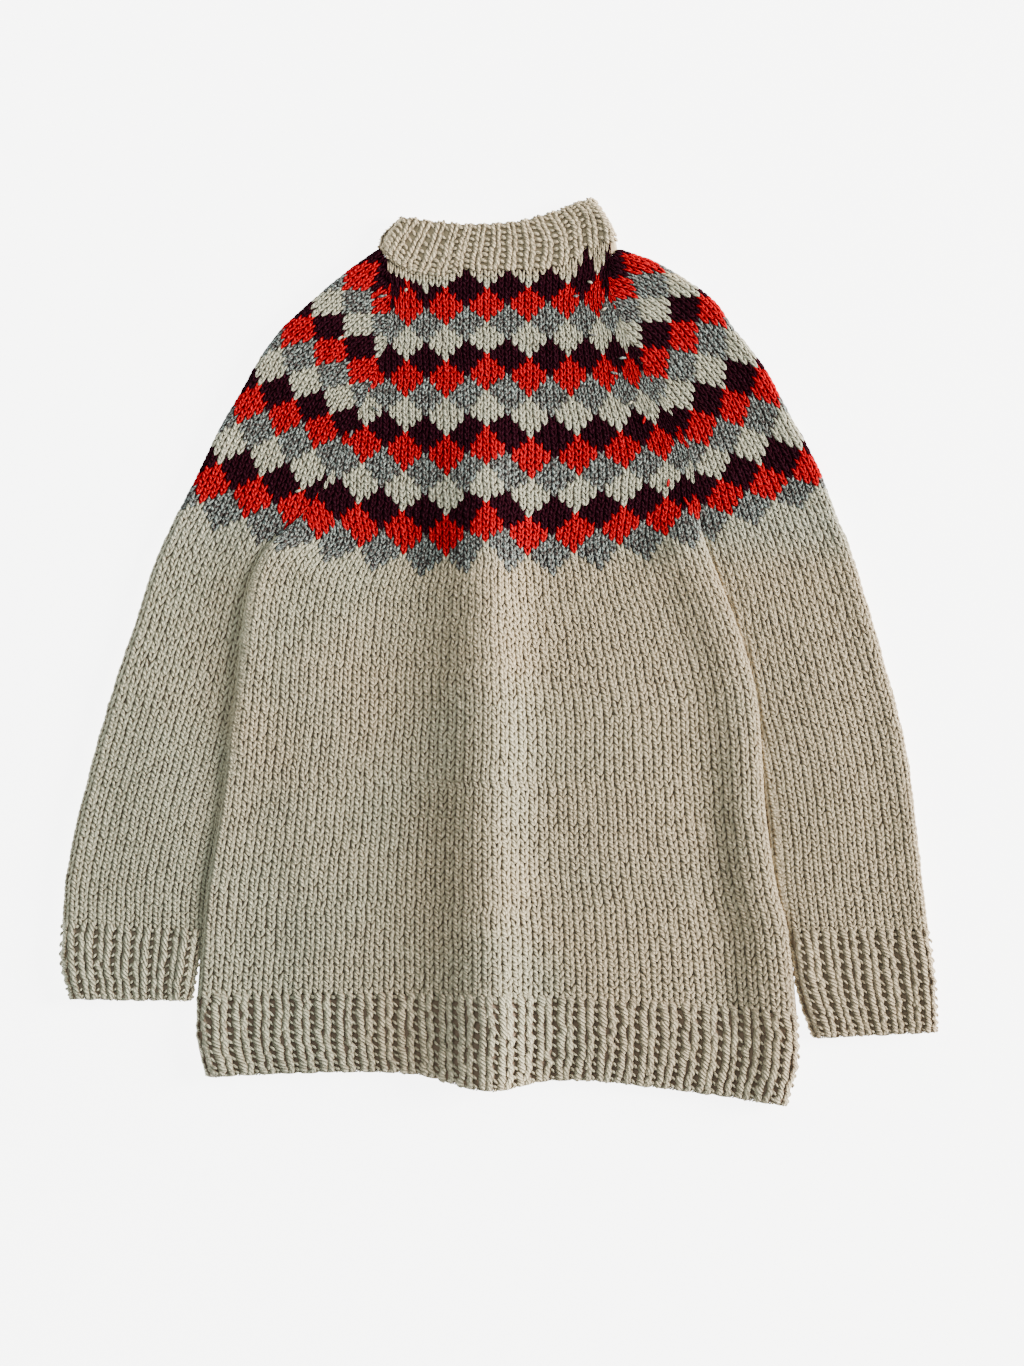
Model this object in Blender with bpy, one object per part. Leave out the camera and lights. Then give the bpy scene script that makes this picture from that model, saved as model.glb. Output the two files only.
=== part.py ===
"""A hand-knitted pullover with a patterned yoke, laid flat on its back.

The tables are in millimetres and the meshes in metres. X runs across the garment, Y runs
towards the neck and Z rises from the surface that the back lies on. Each knitted piece is a
wall of one thickness, lofted through rows that run from one of its seams to the other.
"""
import math
from collections import namedtuple

import bmesh
import bpy

# Units
METRES_PER_MM = 0.001

# The knitted cloth and how it lies. Rows meet the raglan seams at a slant, so the gap along
# a row is a little more than the 0.3 mm that it leaves square to the seam.
WALL = 3.5
SEAM_GAP = 0.36
FLAT_HEIGHT = 9.4
FOLD_PUFF = 1.4
PUFF_REACH = 22.0
FOLD_REACH = 5.4
SLEEVE_CLEARANCE = 1.5
ROLL_STARTS = 0.72

# Steps of the lofts
ARC_STEPS = 3
RAGLAN_STEPS = 8
BODY_SIDE_STEPS = 10
SLEEVE_SIDE_STEPS = 9
FRONT_STEPS = 30
BACK_STEPS = 8
SLEEVE_UPPER_STEPS = 8
SLEEVE_LOWER_STEPS = 5
RIDGE_PLACE = 0.46
RIDGE_CROWDING = 0.45

# Ribbing
RIB_RELIEF = 1.6
RIB_SHOULDERS = ((0.06, 1.0), (0.44, 1.0), (0.56, 0.0), (0.94, 0.0))
HEM_RIBS = 30
CUFF_RIBS = 8
NECK_RIBS = 15

# Neck opening
NECK_CENTRE_X = -0.7
NECK_HALF_WIDTH = 103.6
NECK_Y = 344.8
FRONT_NECK_DIP = 27.5
BACK_NECK_DIP = 5.0
NECK_CURVE = 4.0
NECK_GAP = 0.7
BAND_SIDE_BULGE = 5.0
BAND_ROWS = 3

# Front, back and sleeves above the armpit: the two raglan seams and the two shoulder folds
RaglanRow = namedtuple(
    "RaglanRow",
    "left_x left_y right_x right_y left_fold_x left_fold_y right_fold_x right_fold_y sag",
)
RAGLAN = (
    RaglanRow(-97.2, 337.4, 95.6, 337.9, -104.3, 344.8, 102.9, 344.8, 20.0),
    RaglanRow(-93.0, 303.6, 95.2, 309.6, -137.0, 320.7, 139.0, 331.1, 21.0),
    RaglanRow(-98.3, 262.3, 108.1, 275.2, -171.4, 291.5, 178.6, 305.3, 21.0),
    RaglanRow(-110.4, 227.9, 125.3, 242.5, -197.2, 264.0, 202.7, 275.2, 21.0),
    RaglanRow(-128.4, 184.9, 146.8, 207.2, -221.3, 223.6, 226.8, 244.2, 22.0),
    RaglanRow(-147.4, 147.9, 164.0, 172.0, -242.8, 185.7, 247.4, 206.4, 22.0),
    RaglanRow(-168.9, 116.9, 170.0, 130.7, -262.6, 145.3, 271.5, 162.5, 22.0),
    RaglanRow(-199.0, 88.5, 173.4, 101.4, -280.7, 110.0, 288.7, 120.4, 21.0),
)

# Below the armpit: the side seams, and the outer fold of each sleeve at the same row
SIDES = (
    RAGLAN[-1],
    RaglanRow(-213.6, 58.4, 187.2, 63.6, -294.4, 80.8, 302.4, 86.0, 18.0),
    RaglanRow(-220.5, 17.2, 204.4, 19.7, -309.0, 36.9, 317.1, 37.8, 14.0),
    RaglanRow(-226.5, -34.4, 219.9, -34.4, -327.1, -16.4, 333.4, -18.1, 10.0),
    RaglanRow(-233.4, -86.0, 225.0, -86.0, -343.4, -69.7, 347.2, -71.4, 6.0),
    RaglanRow(-241.1, -141.9, 228.5, -141.9, -358.9, -127.3, 356.6, -129.9, 2.0),
    RaglanRow(-251.4, -202.1, 237.9, -203.0, -372.7, -191.0, 363.5, -194.4, -2.0),
    RaglanRow(-254.9, -242.6, 248.3, -244.3, -376.1, -235.7, 369.5, -241.7, -5.0),
    RaglanRow(-259.2, -299.3, 255.1, -313.9, -377.0, -290.0, 373.0, -300.0, -8.0),
)
CUFF_START = 7

# Ribbed hem, from its first row to its lower edge
HemRow = namedtuple("HemRow", "left_x left_y right_x right_y sag sag_curve ridge_drop")
HEM = (
    HemRow(-259.2, -299.3, 255.1, -313.9, -8.0, 2.0, 0.0),
    HemRow(-259.2, -335.4, 256.0, -354.4, -11.0, 2.2, 6.0),
    HemRow(-250.6, -364.7, 244.0, -389.6, -14.0, 2.5, 12.0),
)

# Ribbed cuffs, from the last plain row to the open end
CuffRow = namedtuple("CuffRow", "inner_x inner_y fold_x fold_y")
LEFT_CUFF = (
    CuffRow(-256.4, -242.6, -376.1, -235.7),
    CuffRow(-260.6, -271.8, -377.0, -270.1),
    CuffRow(-266.0, -301.0, -369.2, -299.3),
)
RIGHT_CUFF = (
    CuffRow(249.8, -244.3, 369.5, -241.7),
    CuffRow(257.2, -290.7, 375.5, -289.0),
    CuffRow(270.6, -332.9, 376.4, -327.7),
)

# Upper edge of the neckband, from its left corner to its right one
BandEdge = namedtuple("BandEdge", "share x y")
BAND_TOP = (
    BandEdge(0.0, -85.7, 372.0),
    BandEdge(0.2, -52.0, 368.0),
    BandEdge(0.4, -20.0, 366.0),
    BandEdge(0.6, 15.0, 368.5),
    BandEdge(0.8, 48.7, 377.5),
    BandEdge(1.0, 82.0, 389.0),
)

# Folds that lie in the upper layer, from where each starts to where it ends
Fold = namedtuple(
    "Fold", "where start_x start_y end_x end_y height left_width right_width fade_in fade_out"
)
RIDGE = Fold("centre front", -12.0, 275.0, -10.0, -395.0, 15.0, 26.0, 36.0, 0.38, 0.0)
FOLDS = (
    RIDGE,
    Fold("trough beside the ridge", -56.0, 190.0, -52.0, -360.0, -1.4, 24.0, 16.0, 0.25, 0.15),
    Fold("swelling over the hem", -6.0, -290.0, -4.0, -355.0, 2.0, 18.0, 24.0, 0.45, 0.45),
    Fold("trough inside the right edge", 188.0, -20.0, 208.0, -345.0, -1.5, 16.0, 13.0, 0.30, 0.20),
    Fold("trough inside the left edge", -188.0, -150.0, -192.0, -330.0, -1.1, 14.0, 16.0, 0.30, 0.20),
    Fold("right side of the body", 95.0, 60.0, 80.0, -330.0, 1.6, 34.0, 44.0, 0.30, 0.20),
    Fold("left side of the body", -150.0, 90.0, -178.0, -250.0, 1.4, 40.0, 34.0, 0.30, 0.25),
    Fold("left armpit", -196.0, 84.0, -118.0, 40.0, 1.8, 10.0, 12.0, 0.30, 0.55),
    Fold("right armpit", 171.0, 98.0, 112.0, 44.0, 1.8, 12.0, 10.0, 0.30, 0.55),
    Fold("left sleeve", -290.0, 20.0, -318.0, -190.0, 1.4, 22.0, 26.0, 0.30, 0.30),
    Fold("right sleeve", 268.0, 60.0, 296.0, -200.0, 1.5, 22.0, 24.0, 0.30, 0.30),
)

# Colour, roughness and metallic value of the yarn on each piece
Yarn = namedtuple("Yarn", "red green blue roughness metallic")
CREAM = Yarn(0.55, 0.50, 0.38, 0.95, 0.0)
RIB_CREAM = Yarn(0.52, 0.47, 0.36, 0.95, 0.0)

Spot = namedtuple("Spot", "along height out_along out_up relief")


def between(rows, place):
    """The row at a place on a smooth curve through a table's rows."""
    last = len(rows) - 1
    index = min(int(place), last - 1)
    part = place - index
    before = rows[max(index - 1, 0)]
    start = rows[index]
    end = rows[index + 1]
    after = rows[min(index + 2, last)]
    values = []
    for a, b, c, d in zip(before, start, end, after):
        bend = (2 * a - 5 * b + 4 * c - d) * part ** 2
        twist = (3 * b - a - 3 * c + d) * part ** 3
        values.append(0.5 * (2 * b + (c - a) * part + bend + twist))
    return type(start)(*values)


def ease(value):
    """Smooth step from 0 to 1."""
    part = min(max(value, 0.0), 1.0)
    return part * part * (3.0 - 2.0 * part)


def fold_height(x, y):
    """Height of all the folds over the flat cloth at one place."""
    total = 0.0
    for fold in FOLDS:
        run_x = fold.end_x - fold.start_x
        run_y = fold.end_y - fold.start_y
        length = math.hypot(run_x, run_y)
        share = ((x - fold.start_x) * run_x + (y - fold.start_y) * run_y) / length ** 2
        aside = ((x - fold.start_x) * run_y - (y - fold.start_y) * run_x) / length
        width = fold.left_width if aside > 0 else fold.right_width
        ends = ease(share / fold.fade_in)
        if fold.fade_out > 0:
            ends *= ease((1.0 - share) / fold.fade_out)
        total += fold.height * ends * math.exp(-(aside / width) ** 2)
    return total


def neckline(x, dip):
    """Where the neck opening crosses one place across the garment."""
    share = min(abs(x - NECK_CENTRE_X) / NECK_HALF_WIDTH, 1.0)
    return NECK_Y - dip * (1.0 - share ** NECK_CURVE)


class Row:
    """A line across a piece on plan, with how far each of its ends rolls under.

    A roll of 0 ends level with the upper layer, as at a raglan seam. A roll of 1 turns down
    to the middle of the height, as at a side seam or at the fold of a sleeve.
    """

    def __init__(self, start, end, start_roll, end_roll, end_is_seam=True):
        self.start = start
        self.end = end
        self.length = math.hypot(end[0] - start[0], end[1] - start[1])
        self.direction = ((end[0] - start[0]) / self.length, (end[1] - start[1]) / self.length)
        self.rolls = (start_roll, end_roll)
        self.end_is_seam = end_is_seam
        self.sag = 0.0
        self.sag_curve = 2.0
        self.ridge_drop = 0.0
        self.neck_dips = None
        self.shift = 0.0

    def place(self, along, upper):
        """Plan position at a distance along the row, in the upper or the lower layer."""
        x = self.start[0] + self.direction[0] * along
        y = self.start[1] + self.direction[1] * along
        if self.neck_dips:
            y = neckline(x, self.neck_dips[0] if upper else self.neck_dips[1])
        elif self.sag:
            share = min(abs(2.0 * along / self.length - 1.0), 1.0)
            y -= self.sag * (1.0 - share ** self.sag_curve)
        if self.ridge_drop and upper:
            y -= self.ridge_drop * math.exp(-((x - RIDGE.end_x) / RIDGE.right_width) ** 2)
        return x, y + self.shift

    def end_centres(self):
        """How far along the row each end starts to roll, and the largest roll there."""
        half_gap = SEAM_GAP / 2
        start_turn = self.rolls[0] * math.acos(half_gap / FOLD_REACH)
        end_turn = self.rolls[1] * math.acos(half_gap / FOLD_REACH)
        end_inset = half_gap
        if not self.end_is_seam:
            end_turn = math.pi / 2
            end_inset = 0.0
        start = half_gap + FOLD_REACH * math.sin(start_turn)
        end = self.length - end_inset - FOLD_REACH * math.sin(end_turn)
        return start, end, start_turn, end_turn

    def height(self, along):
        """Height of the cloth's upper face at a distance along the row."""
        start, end, _, _ = self.end_centres()
        inside = min(max(along, start), end)
        x, y = self.place(inside, True)
        puff = self.rolls[0] * math.exp(-((inside - start) / PUFF_REACH) ** 2)
        puff += self.rolls[1] * math.exp(-((end - inside) / PUFF_REACH) ** 2)
        return FLAT_HEIGHT + fold_height(x, y) + FOLD_PUFF * min(puff, 1.0)


def layer(row, marks, upper):
    """Spots of one layer of cloth along a row, its rolled ends included."""
    start, end, start_turn, end_turn = row.end_centres()
    side = 1.0 if upper else -1.0
    spots = []

    def rolled(centre, turn, outwards):
        half = row.height(centre) / 2
        across = FOLD_REACH * math.sin(turn)
        rise = half * math.cos(turn)
        normal = (outwards * math.sin(turn), side * math.cos(turn))
        spots.append(Spot(centre + outwards * across, half + side * rise, normal[0], normal[1], 0.0))

    if start_turn > 0:
        for step in range(ARC_STEPS):
            rolled(start, start_turn * (ARC_STEPS - step) / ARC_STEPS, -1.0)
    for share, relief in marks:
        along = start + (end - start) * share
        if upper:
            slope = (row.height(along + 1.0) - row.height(along - 1.0)) / 2.0
            size = math.hypot(slope, 1.0)
            spots.append(Spot(along, row.height(along), -slope / size, 1.0 / size, relief))
        else:
            spots.append(Spot(along, 0.0, 0.0, -1.0, 0.0))
    if end_turn > 0:
        for step in range(ARC_STEPS):
            rolled(end, end_turn * (step + 1) / ARC_STEPS, 1.0)
    return spots


def padded(spots, row):
    """Spots with the ends that don't roll repeated, so that every row has as many."""
    _, _, start_turn, end_turn = row.end_centres()
    if start_turn == 0:
        first, second = spots[0], spots[1]
        extra = [blend_spots(first, second, step / (ARC_STEPS + 1)) for step in range(1, ARC_STEPS + 1)]
        spots = [first] + extra + spots[1:]
    if end_turn == 0:
        last, second = spots[-1], spots[-2]
        extra = [blend_spots(last, second, step / (ARC_STEPS + 1)) for step in range(ARC_STEPS, 0, -1)]
        spots = spots[:-1] + extra + [last]
    return spots


def blend_spots(first, second, part):
    """A spot part of the way from one to the next."""
    return Spot(*(a + (b - a) * part for a, b in zip(first, second)))


def wall_points(row, spots, upper):
    """Outer and inner points of the cloth at each spot of a row, in metres."""
    points = []
    for spot in spots:
        x, y = row.place(spot.along, upper)
        inner_x, inner_y = row.place(spot.along - WALL * spot.out_along, upper)
        inner_z = spot.height - WALL * spot.out_up
        across = spot.relief * spot.out_along
        outer = (x + across * row.direction[0], y + across * row.direction[1])
        outer_z = spot.height + spot.relief * spot.out_up
        points.append((
            tuple(value * METRES_PER_MM for value in (outer[0], outer[1], outer_z)),
            tuple(value * METRES_PER_MM for value in (inner_x, inner_y, inner_z)),
        ))
    return points


def upper_points(row, marks):
    """Wall points of an upper panel."""
    return wall_points(row, padded(layer(row, marks, True), row), True)


def lower_points(row, marks):
    """Wall points of a lower panel."""
    return wall_points(row, padded(layer(row, marks, False), row), False)


def tube_points(row, upper_marks, lower_marks, closed):
    """Wall points round a flattened tube: under it, round its fold and back over it."""
    under = lower_points(row, lower_marks)
    over = list(reversed(upper_points(row, upper_marks)))
    ring = under + over[1:]
    if closed:
        ring = ring[:-1]
    return ring


def even_marks(steps):
    """Evenly spaced shares of a row with no relief."""
    return [(step / steps, 0.0) for step in range(steps + 1)]


def front_marks():
    """Shares of a row that crowd together at the centre fold."""
    marks = []
    for step in range(FRONT_STEPS + 1):
        share = step / FRONT_STEPS
        turn = 2.0 * math.pi
        ends = math.sin(turn * RIDGE_PLACE)
        crowd = math.sin(turn * (share - RIDGE_PLACE)) + ends
        marks.append((share - RIDGE_CROWDING * crowd / turn, 0.0))
    return marks


def rib_marks(ribs):
    """Shares of a row at the shoulders of each rib, with the rib's height there."""
    marks = [(0.0, 0.0)]
    for rib in range(ribs):
        for share, rise in RIB_SHOULDERS:
            marks.append(((rib + share) / ribs, rise * RIB_RELIEF))
    marks.append((1.0, 0.0))
    return marks


def yarn_material(name, yarn):
    """A plain matt yarn colour."""
    material = bpy.data.materials.new(name)
    material.use_nodes = True
    shader = material.node_tree.nodes["Principled BSDF"]
    shader.inputs["Base Color"].default_value = (yarn.red, yarn.green, yarn.blue, 1.0)
    shader.inputs["Roughness"].default_value = yarn.roughness
    shader.inputs["Metallic"].default_value = yarn.metallic
    return material


def wall(name, rows, closed, yarn, collection):
    """A wall lofted through rows of outer and inner points, closed at its four edges."""
    mesh_data = bmesh.new()
    outer = [[mesh_data.verts.new(pair[0]) for pair in row] for row in rows]
    inner = [[mesh_data.verts.new(pair[1]) for pair in row] for row in rows]
    count = len(rows[0])
    spans = count if closed else count - 1
    for above, below, inner_above, inner_below in zip(outer, outer[1:], inner, inner[1:]):
        for column in range(spans):
            beside = (column + 1) % count
            mesh_data.faces.new((above[column], above[beside], below[beside], below[column]))
            mesh_data.faces.new(
                (inner_above[beside], inner_above[column], inner_below[column], inner_below[beside])
            )
    for edge, inner_edge in ((outer[0], inner[0]), (outer[-1], inner[-1])):
        for column in range(spans):
            beside = (column + 1) % count
            mesh_data.faces.new((edge[column], edge[beside], inner_edge[beside], inner_edge[column]))
    if not closed:
        for column in (0, count - 1):
            for line in range(len(rows) - 1):
                mesh_data.faces.new((
                    outer[line][column],
                    outer[line + 1][column],
                    inner[line + 1][column],
                    inner[line][column],
                ))
    bmesh.ops.recalc_face_normals(mesh_data, faces=mesh_data.faces)
    mesh = bpy.data.meshes.new(name)
    mesh_data.to_mesh(mesh)
    mesh_data.free()
    mesh.materials.append(yarn_material(name + "_yarn", yarn))
    piece = bpy.data.objects.new(name, mesh)
    collection.objects.link(piece)
    mesh.shade_smooth()
    mesh.set_sharp_from_angle(angle=math.radians(40))
    return piece


def raglan_roll(share):
    """How far the layers roll down towards each other as a raglan seam nears the armpit."""
    return ease((share - ROLL_STARTS) / (1.0 - ROLL_STARTS))


def garment_stations(side_steps, last_side):
    """Rows of the tables from the neck down to one row below the armpit, with their rolls."""
    last = len(RAGLAN) - 1
    stations = []
    for step in range(RAGLAN_STEPS + 1):
        share = step / RAGLAN_STEPS
        stations.append((between(RAGLAN, share * last), raglan_roll(share)))
    for step in range(1, side_steps + 1):
        stations.append((between(SIDES, last_side * step / side_steps), 1.0))
    return stations


def body_rows():
    """Rows across the front or the back, from the neck to the ribbed hem."""
    stations = garment_stations(BODY_SIDE_STEPS, len(SIDES) - 1)
    rows = []
    for number, (station, roll) in enumerate(stations):
        start = (station.left_x, station.left_y)
        end = (station.right_x, station.right_y)
        row = Row(start, end, roll, roll)
        row.sag = station.sag
        if number == 0:
            row.neck_dips = (FRONT_NECK_DIP, BACK_NECK_DIP)
            row.shift = -NECK_GAP / 2
        rows.append(row)
    rows[-1].shift = SEAM_GAP / 2
    return rows


def hem_rows():
    """Rows across the ribbed hem."""
    rows = []
    for station in HEM:
        start = (station.left_x, station.left_y)
        end = (station.right_x, station.right_y)
        row = Row(start, end, 1.0, 1.0)
        row.sag = station.sag
        row.sag_curve = station.sag_curve
        row.ridge_drop = station.ridge_drop
        rows.append(row)
    rows[0].shift = -SEAM_GAP / 2
    return rows


def sleeve_rows(side):
    """Rows across a sleeve from its raglan or underarm seam to its outer fold."""
    stations = garment_stations(SLEEVE_SIDE_STEPS, CUFF_START)
    rows = []
    for number, (station, roll) in enumerate(stations):
        gap = SLEEVE_CLEARANCE if number > RAGLAN_STEPS else 0.0
        if side == "left":
            start = (station.left_x - gap, station.left_y)
            end = (station.left_fold_x, station.left_fold_y)
        else:
            start = (station.right_x + gap, station.right_y)
            end = (station.right_fold_x, station.right_fold_y)
        row = Row(start, end, roll, 1.0, end_is_seam=False)
        if number == 0:
            row.neck_dips = (FRONT_NECK_DIP, BACK_NECK_DIP)
            row.shift = -NECK_GAP / 2
        rows.append(row)
    rows[-1].shift = SEAM_GAP / 2
    return rows


def cuff_rows(table):
    """Rows across a ribbed cuff."""
    rows = []
    for station in table:
        start = (station.inner_x, station.inner_y)
        end = (station.fold_x, station.fold_y)
        rows.append(Row(start, end, 1.0, 1.0, end_is_seam=False))
    rows[0].shift = -SEAM_GAP / 2
    return rows


class BandRow(Row):
    """A line across the neckband, part of the way from the neck opening to its upper edge."""

    def __init__(self, share):
        self.share = share
        foot_left = NECK_CENTRE_X - NECK_HALF_WIDTH
        foot_right = NECK_CENTRE_X + NECK_HALF_WIDTH
        top_left = BAND_TOP[0]
        top_right = BAND_TOP[-1]
        bulge = BAND_SIDE_BULGE * math.sin(math.pi * share)
        self.left = foot_left + (top_left.x - foot_left) * share - bulge
        self.right = foot_right + (top_right.x - foot_right) * share + bulge
        super().__init__((self.left, 0.0), (self.right, 0.0), 1.0, 1.0, end_is_seam=False)

    def end_centres(self):
        """Both ends of the band are folds."""
        turn = math.pi / 2
        return FOLD_REACH, self.length - FOLD_REACH, turn, turn

    def place(self, along, upper):
        """Plan position between the neck opening and the band's upper edge."""
        across = along / self.length
        foot_x = NECK_CENTRE_X + NECK_HALF_WIDTH * (2.0 * across - 1.0)
        foot_y = neckline(foot_x, FRONT_NECK_DIP if upper else BACK_NECK_DIP) + NECK_GAP / 2
        top = between(BAND_TOP, min(max(across, 0.0), 1.0) * (len(BAND_TOP) - 1))
        x = self.left + (self.right - self.left) * across
        return x, foot_y + (top.y - foot_y) * self.share


def build():
    """Build every knitted piece."""
    for old in list(bpy.data.objects):
        bpy.data.objects.remove(old, do_unlink=True)
    collection = bpy.data.collections.new("yoke_sweater")
    bpy.context.scene.collection.children.link(collection)

    body = body_rows()
    front = [upper_points(row, front_marks()) for row in body]
    wall("front", front, False, CREAM, collection)
    back = [lower_points(row, even_marks(BACK_STEPS)) for row in body]
    wall("back", back, False, CREAM, collection)

    hem = hem_rows()
    front_hem = [upper_points(row, rib_marks(HEM_RIBS)) for row in hem]
    wall("front_hem_rib", front_hem, False, RIB_CREAM, collection)
    back_hem = [lower_points(row, even_marks(BACK_STEPS)) for row in hem]
    wall("back_hem_rib", back_hem, False, RIB_CREAM, collection)

    for side, cuff in (("left", LEFT_CUFF), ("right", RIGHT_CUFF)):
        over = even_marks(SLEEVE_UPPER_STEPS)
        under = even_marks(SLEEVE_LOWER_STEPS)
        sleeve = [tube_points(row, over, under, False) for row in sleeve_rows(side)]
        wall("sleeve_" + side, sleeve, False, CREAM, collection)
        ribbed = [tube_points(row, rib_marks(CUFF_RIBS), under, False) for row in cuff_rows(cuff)]
        wall("cuff_" + side, ribbed, False, RIB_CREAM, collection)

    band_rows = [BandRow(step / BAND_ROWS) for step in range(BAND_ROWS + 1)]
    under = even_marks(BACK_STEPS)
    band = [tube_points(row, rib_marks(NECK_RIBS), under, True) for row in band_rows]
    wall("neckband", band, True, RIB_CREAM, collection)


build()
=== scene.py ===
"""Looks of a hand-knitted pullover with a patterned yoke, laid flat on its back.

Every stitch that shows is modelled: two legs of yarn that meet at the foot, because the garment
is knitted from the hem up. The tables are in millimetres and the meshes in metres, in the
frame's axes: X across the garment, Y towards the neck and Z up from the surface it lies on.
"""
import logging
import math
from dataclasses import dataclass, field, replace
from enum import Enum, IntEnum
from typing import NamedTuple

import bmesh
import bpy
import numpy as np
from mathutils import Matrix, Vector


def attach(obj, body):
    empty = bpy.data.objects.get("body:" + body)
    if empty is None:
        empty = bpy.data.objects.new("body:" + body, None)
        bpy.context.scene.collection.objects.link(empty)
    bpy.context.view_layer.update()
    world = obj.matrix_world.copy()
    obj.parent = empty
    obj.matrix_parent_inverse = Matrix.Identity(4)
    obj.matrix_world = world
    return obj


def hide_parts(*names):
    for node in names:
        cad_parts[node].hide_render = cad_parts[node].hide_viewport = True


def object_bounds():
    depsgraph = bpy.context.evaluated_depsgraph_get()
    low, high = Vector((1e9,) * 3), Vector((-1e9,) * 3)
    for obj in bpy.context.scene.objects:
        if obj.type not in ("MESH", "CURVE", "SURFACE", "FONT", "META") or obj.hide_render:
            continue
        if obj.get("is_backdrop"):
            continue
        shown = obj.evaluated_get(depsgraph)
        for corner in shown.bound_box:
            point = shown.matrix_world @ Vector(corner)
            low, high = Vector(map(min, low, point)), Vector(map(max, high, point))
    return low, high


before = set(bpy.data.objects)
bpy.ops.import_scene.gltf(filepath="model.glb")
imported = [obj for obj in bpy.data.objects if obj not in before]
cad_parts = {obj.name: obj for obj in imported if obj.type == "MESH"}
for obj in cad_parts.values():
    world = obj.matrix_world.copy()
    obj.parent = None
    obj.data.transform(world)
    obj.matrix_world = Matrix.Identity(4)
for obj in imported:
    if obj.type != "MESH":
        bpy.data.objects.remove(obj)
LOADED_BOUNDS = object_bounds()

LOG = logging.getLogger("yoke_sweater")
METRES_PER_MM = 0.001

# How the cloth lies, as in the solids
WALL = 3.5
SEAM_OVERLAP = 0.8
FLAT_HEIGHT = 9.4
FOLD_REACH = 5.4
ROLL_STARTS = 0.84
NECK_CENTRE_X = -0.7
NECK_HALF_WIDTH = 103.6
NECK_Y = 344.8
FRONT_NECK_DIP = 27.5
BACK_NECK_DIP = 5.0
NECK_CURVE = 4.0
BAND_SIDE_BULGE = 5.0

# How far the cloth puffs up beside its folds and seams, and how far in that reaches. The body's
# left edge puffs up less than the right one, whose top lies further in.
FOLD_PUFF = 1.4
PUFF_REACH = 15.0
SLEEVE_EDGE_PUFF = -1.4
BODY_EDGE_PUFF = 5.6
BODY_PUFF_REACH = 22.0
LEFT_PUFF_SHARE = 0.6
RIGHT_PUFF_INSET = 11.0

# Where the front's crest runs, and how far from it the hem's ribbing is pulled down
CREST_X = -11.0
RIB_DROP_WIDTH = 44.0

# How the stitches stand on the base cloth
BASE_DEPTH = 1.9
EDGE_SPREAD = 1.6
EDGE_LIFT = 1.1
SLIVER = 1.8
NO_WIDTH = 0.02
JOIN_WITHIN_METRES = 2e-6

# The part of an arch that a strand follows: its top stays tucked under the stitch above
TUCK = 0.03
SHOWN = 0.72


class OutlineRow(NamedTuple):
    """Both side seams of the body and both outer folds of the sleeves at one height."""

    left_x: float
    left_y: float
    right_x: float
    right_y: float
    left_fold_x: float
    left_fold_y: float
    right_fold_x: float
    right_fold_y: float


RAGLAN = (
    OutlineRow(-97.2, 337.4, 95.6, 337.9, -104.3, 344.8, 102.9, 344.8),
    OutlineRow(-93.0, 303.6, 95.2, 309.6, -137.0, 320.7, 139.0, 331.1),
    OutlineRow(-98.3, 262.3, 108.1, 275.2, -171.4, 291.5, 178.6, 305.3),
    OutlineRow(-110.4, 227.9, 125.3, 242.5, -197.2, 264.0, 202.7, 275.2),
    OutlineRow(-128.4, 184.9, 146.8, 207.2, -221.3, 223.6, 226.8, 244.2),
    OutlineRow(-147.4, 147.9, 164.0, 172.0, -242.8, 185.7, 247.4, 206.4),
    OutlineRow(-168.9, 116.9, 170.0, 130.7, -262.6, 145.3, 271.5, 162.5),
    OutlineRow(-199.0, 88.5, 173.4, 101.4, -280.7, 110.0, 288.7, 120.4),
)
SIDES = RAGLAN + (
    OutlineRow(-213.6, 58.4, 187.2, 63.6, -294.4, 80.8, 302.4, 86.0),
    OutlineRow(-220.5, 17.2, 204.4, 19.7, -309.0, 36.9, 317.1, 37.8),
    OutlineRow(-226.5, -34.4, 219.9, -34.4, -327.1, -16.4, 333.4, -18.1),
    OutlineRow(-233.4, -86.0, 225.0, -86.0, -343.4, -69.7, 347.2, -71.4),
    OutlineRow(-241.1, -141.9, 228.5, -141.9, -358.9, -127.3, 356.6, -129.9),
    OutlineRow(-251.4, -202.1, 237.9, -203.0, -372.7, -191.0, 363.5, -194.4),
    OutlineRow(-254.9, -242.6, 248.3, -244.3, -376.1, -235.7, 369.5, -241.7),
    OutlineRow(-259.2, -299.3, 255.1, -313.9, -377.0, -290.0, 373.0, -300.0),
)
ARMPIT_ROW = len(RAGLAN) - 1


class Fold(NamedTuple):
    """A soft ridge or trough in the upper layer, from where it starts to where it ends.

    The widths say how far it reaches to each side, and fade_in and fade_out over how much of its
    length it grows and dies away.
    """

    start_x: float
    start_y: float
    end_x: float
    end_y: float
    height: float
    left_width: float
    right_width: float
    fade_in: float
    fade_out: float


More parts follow.
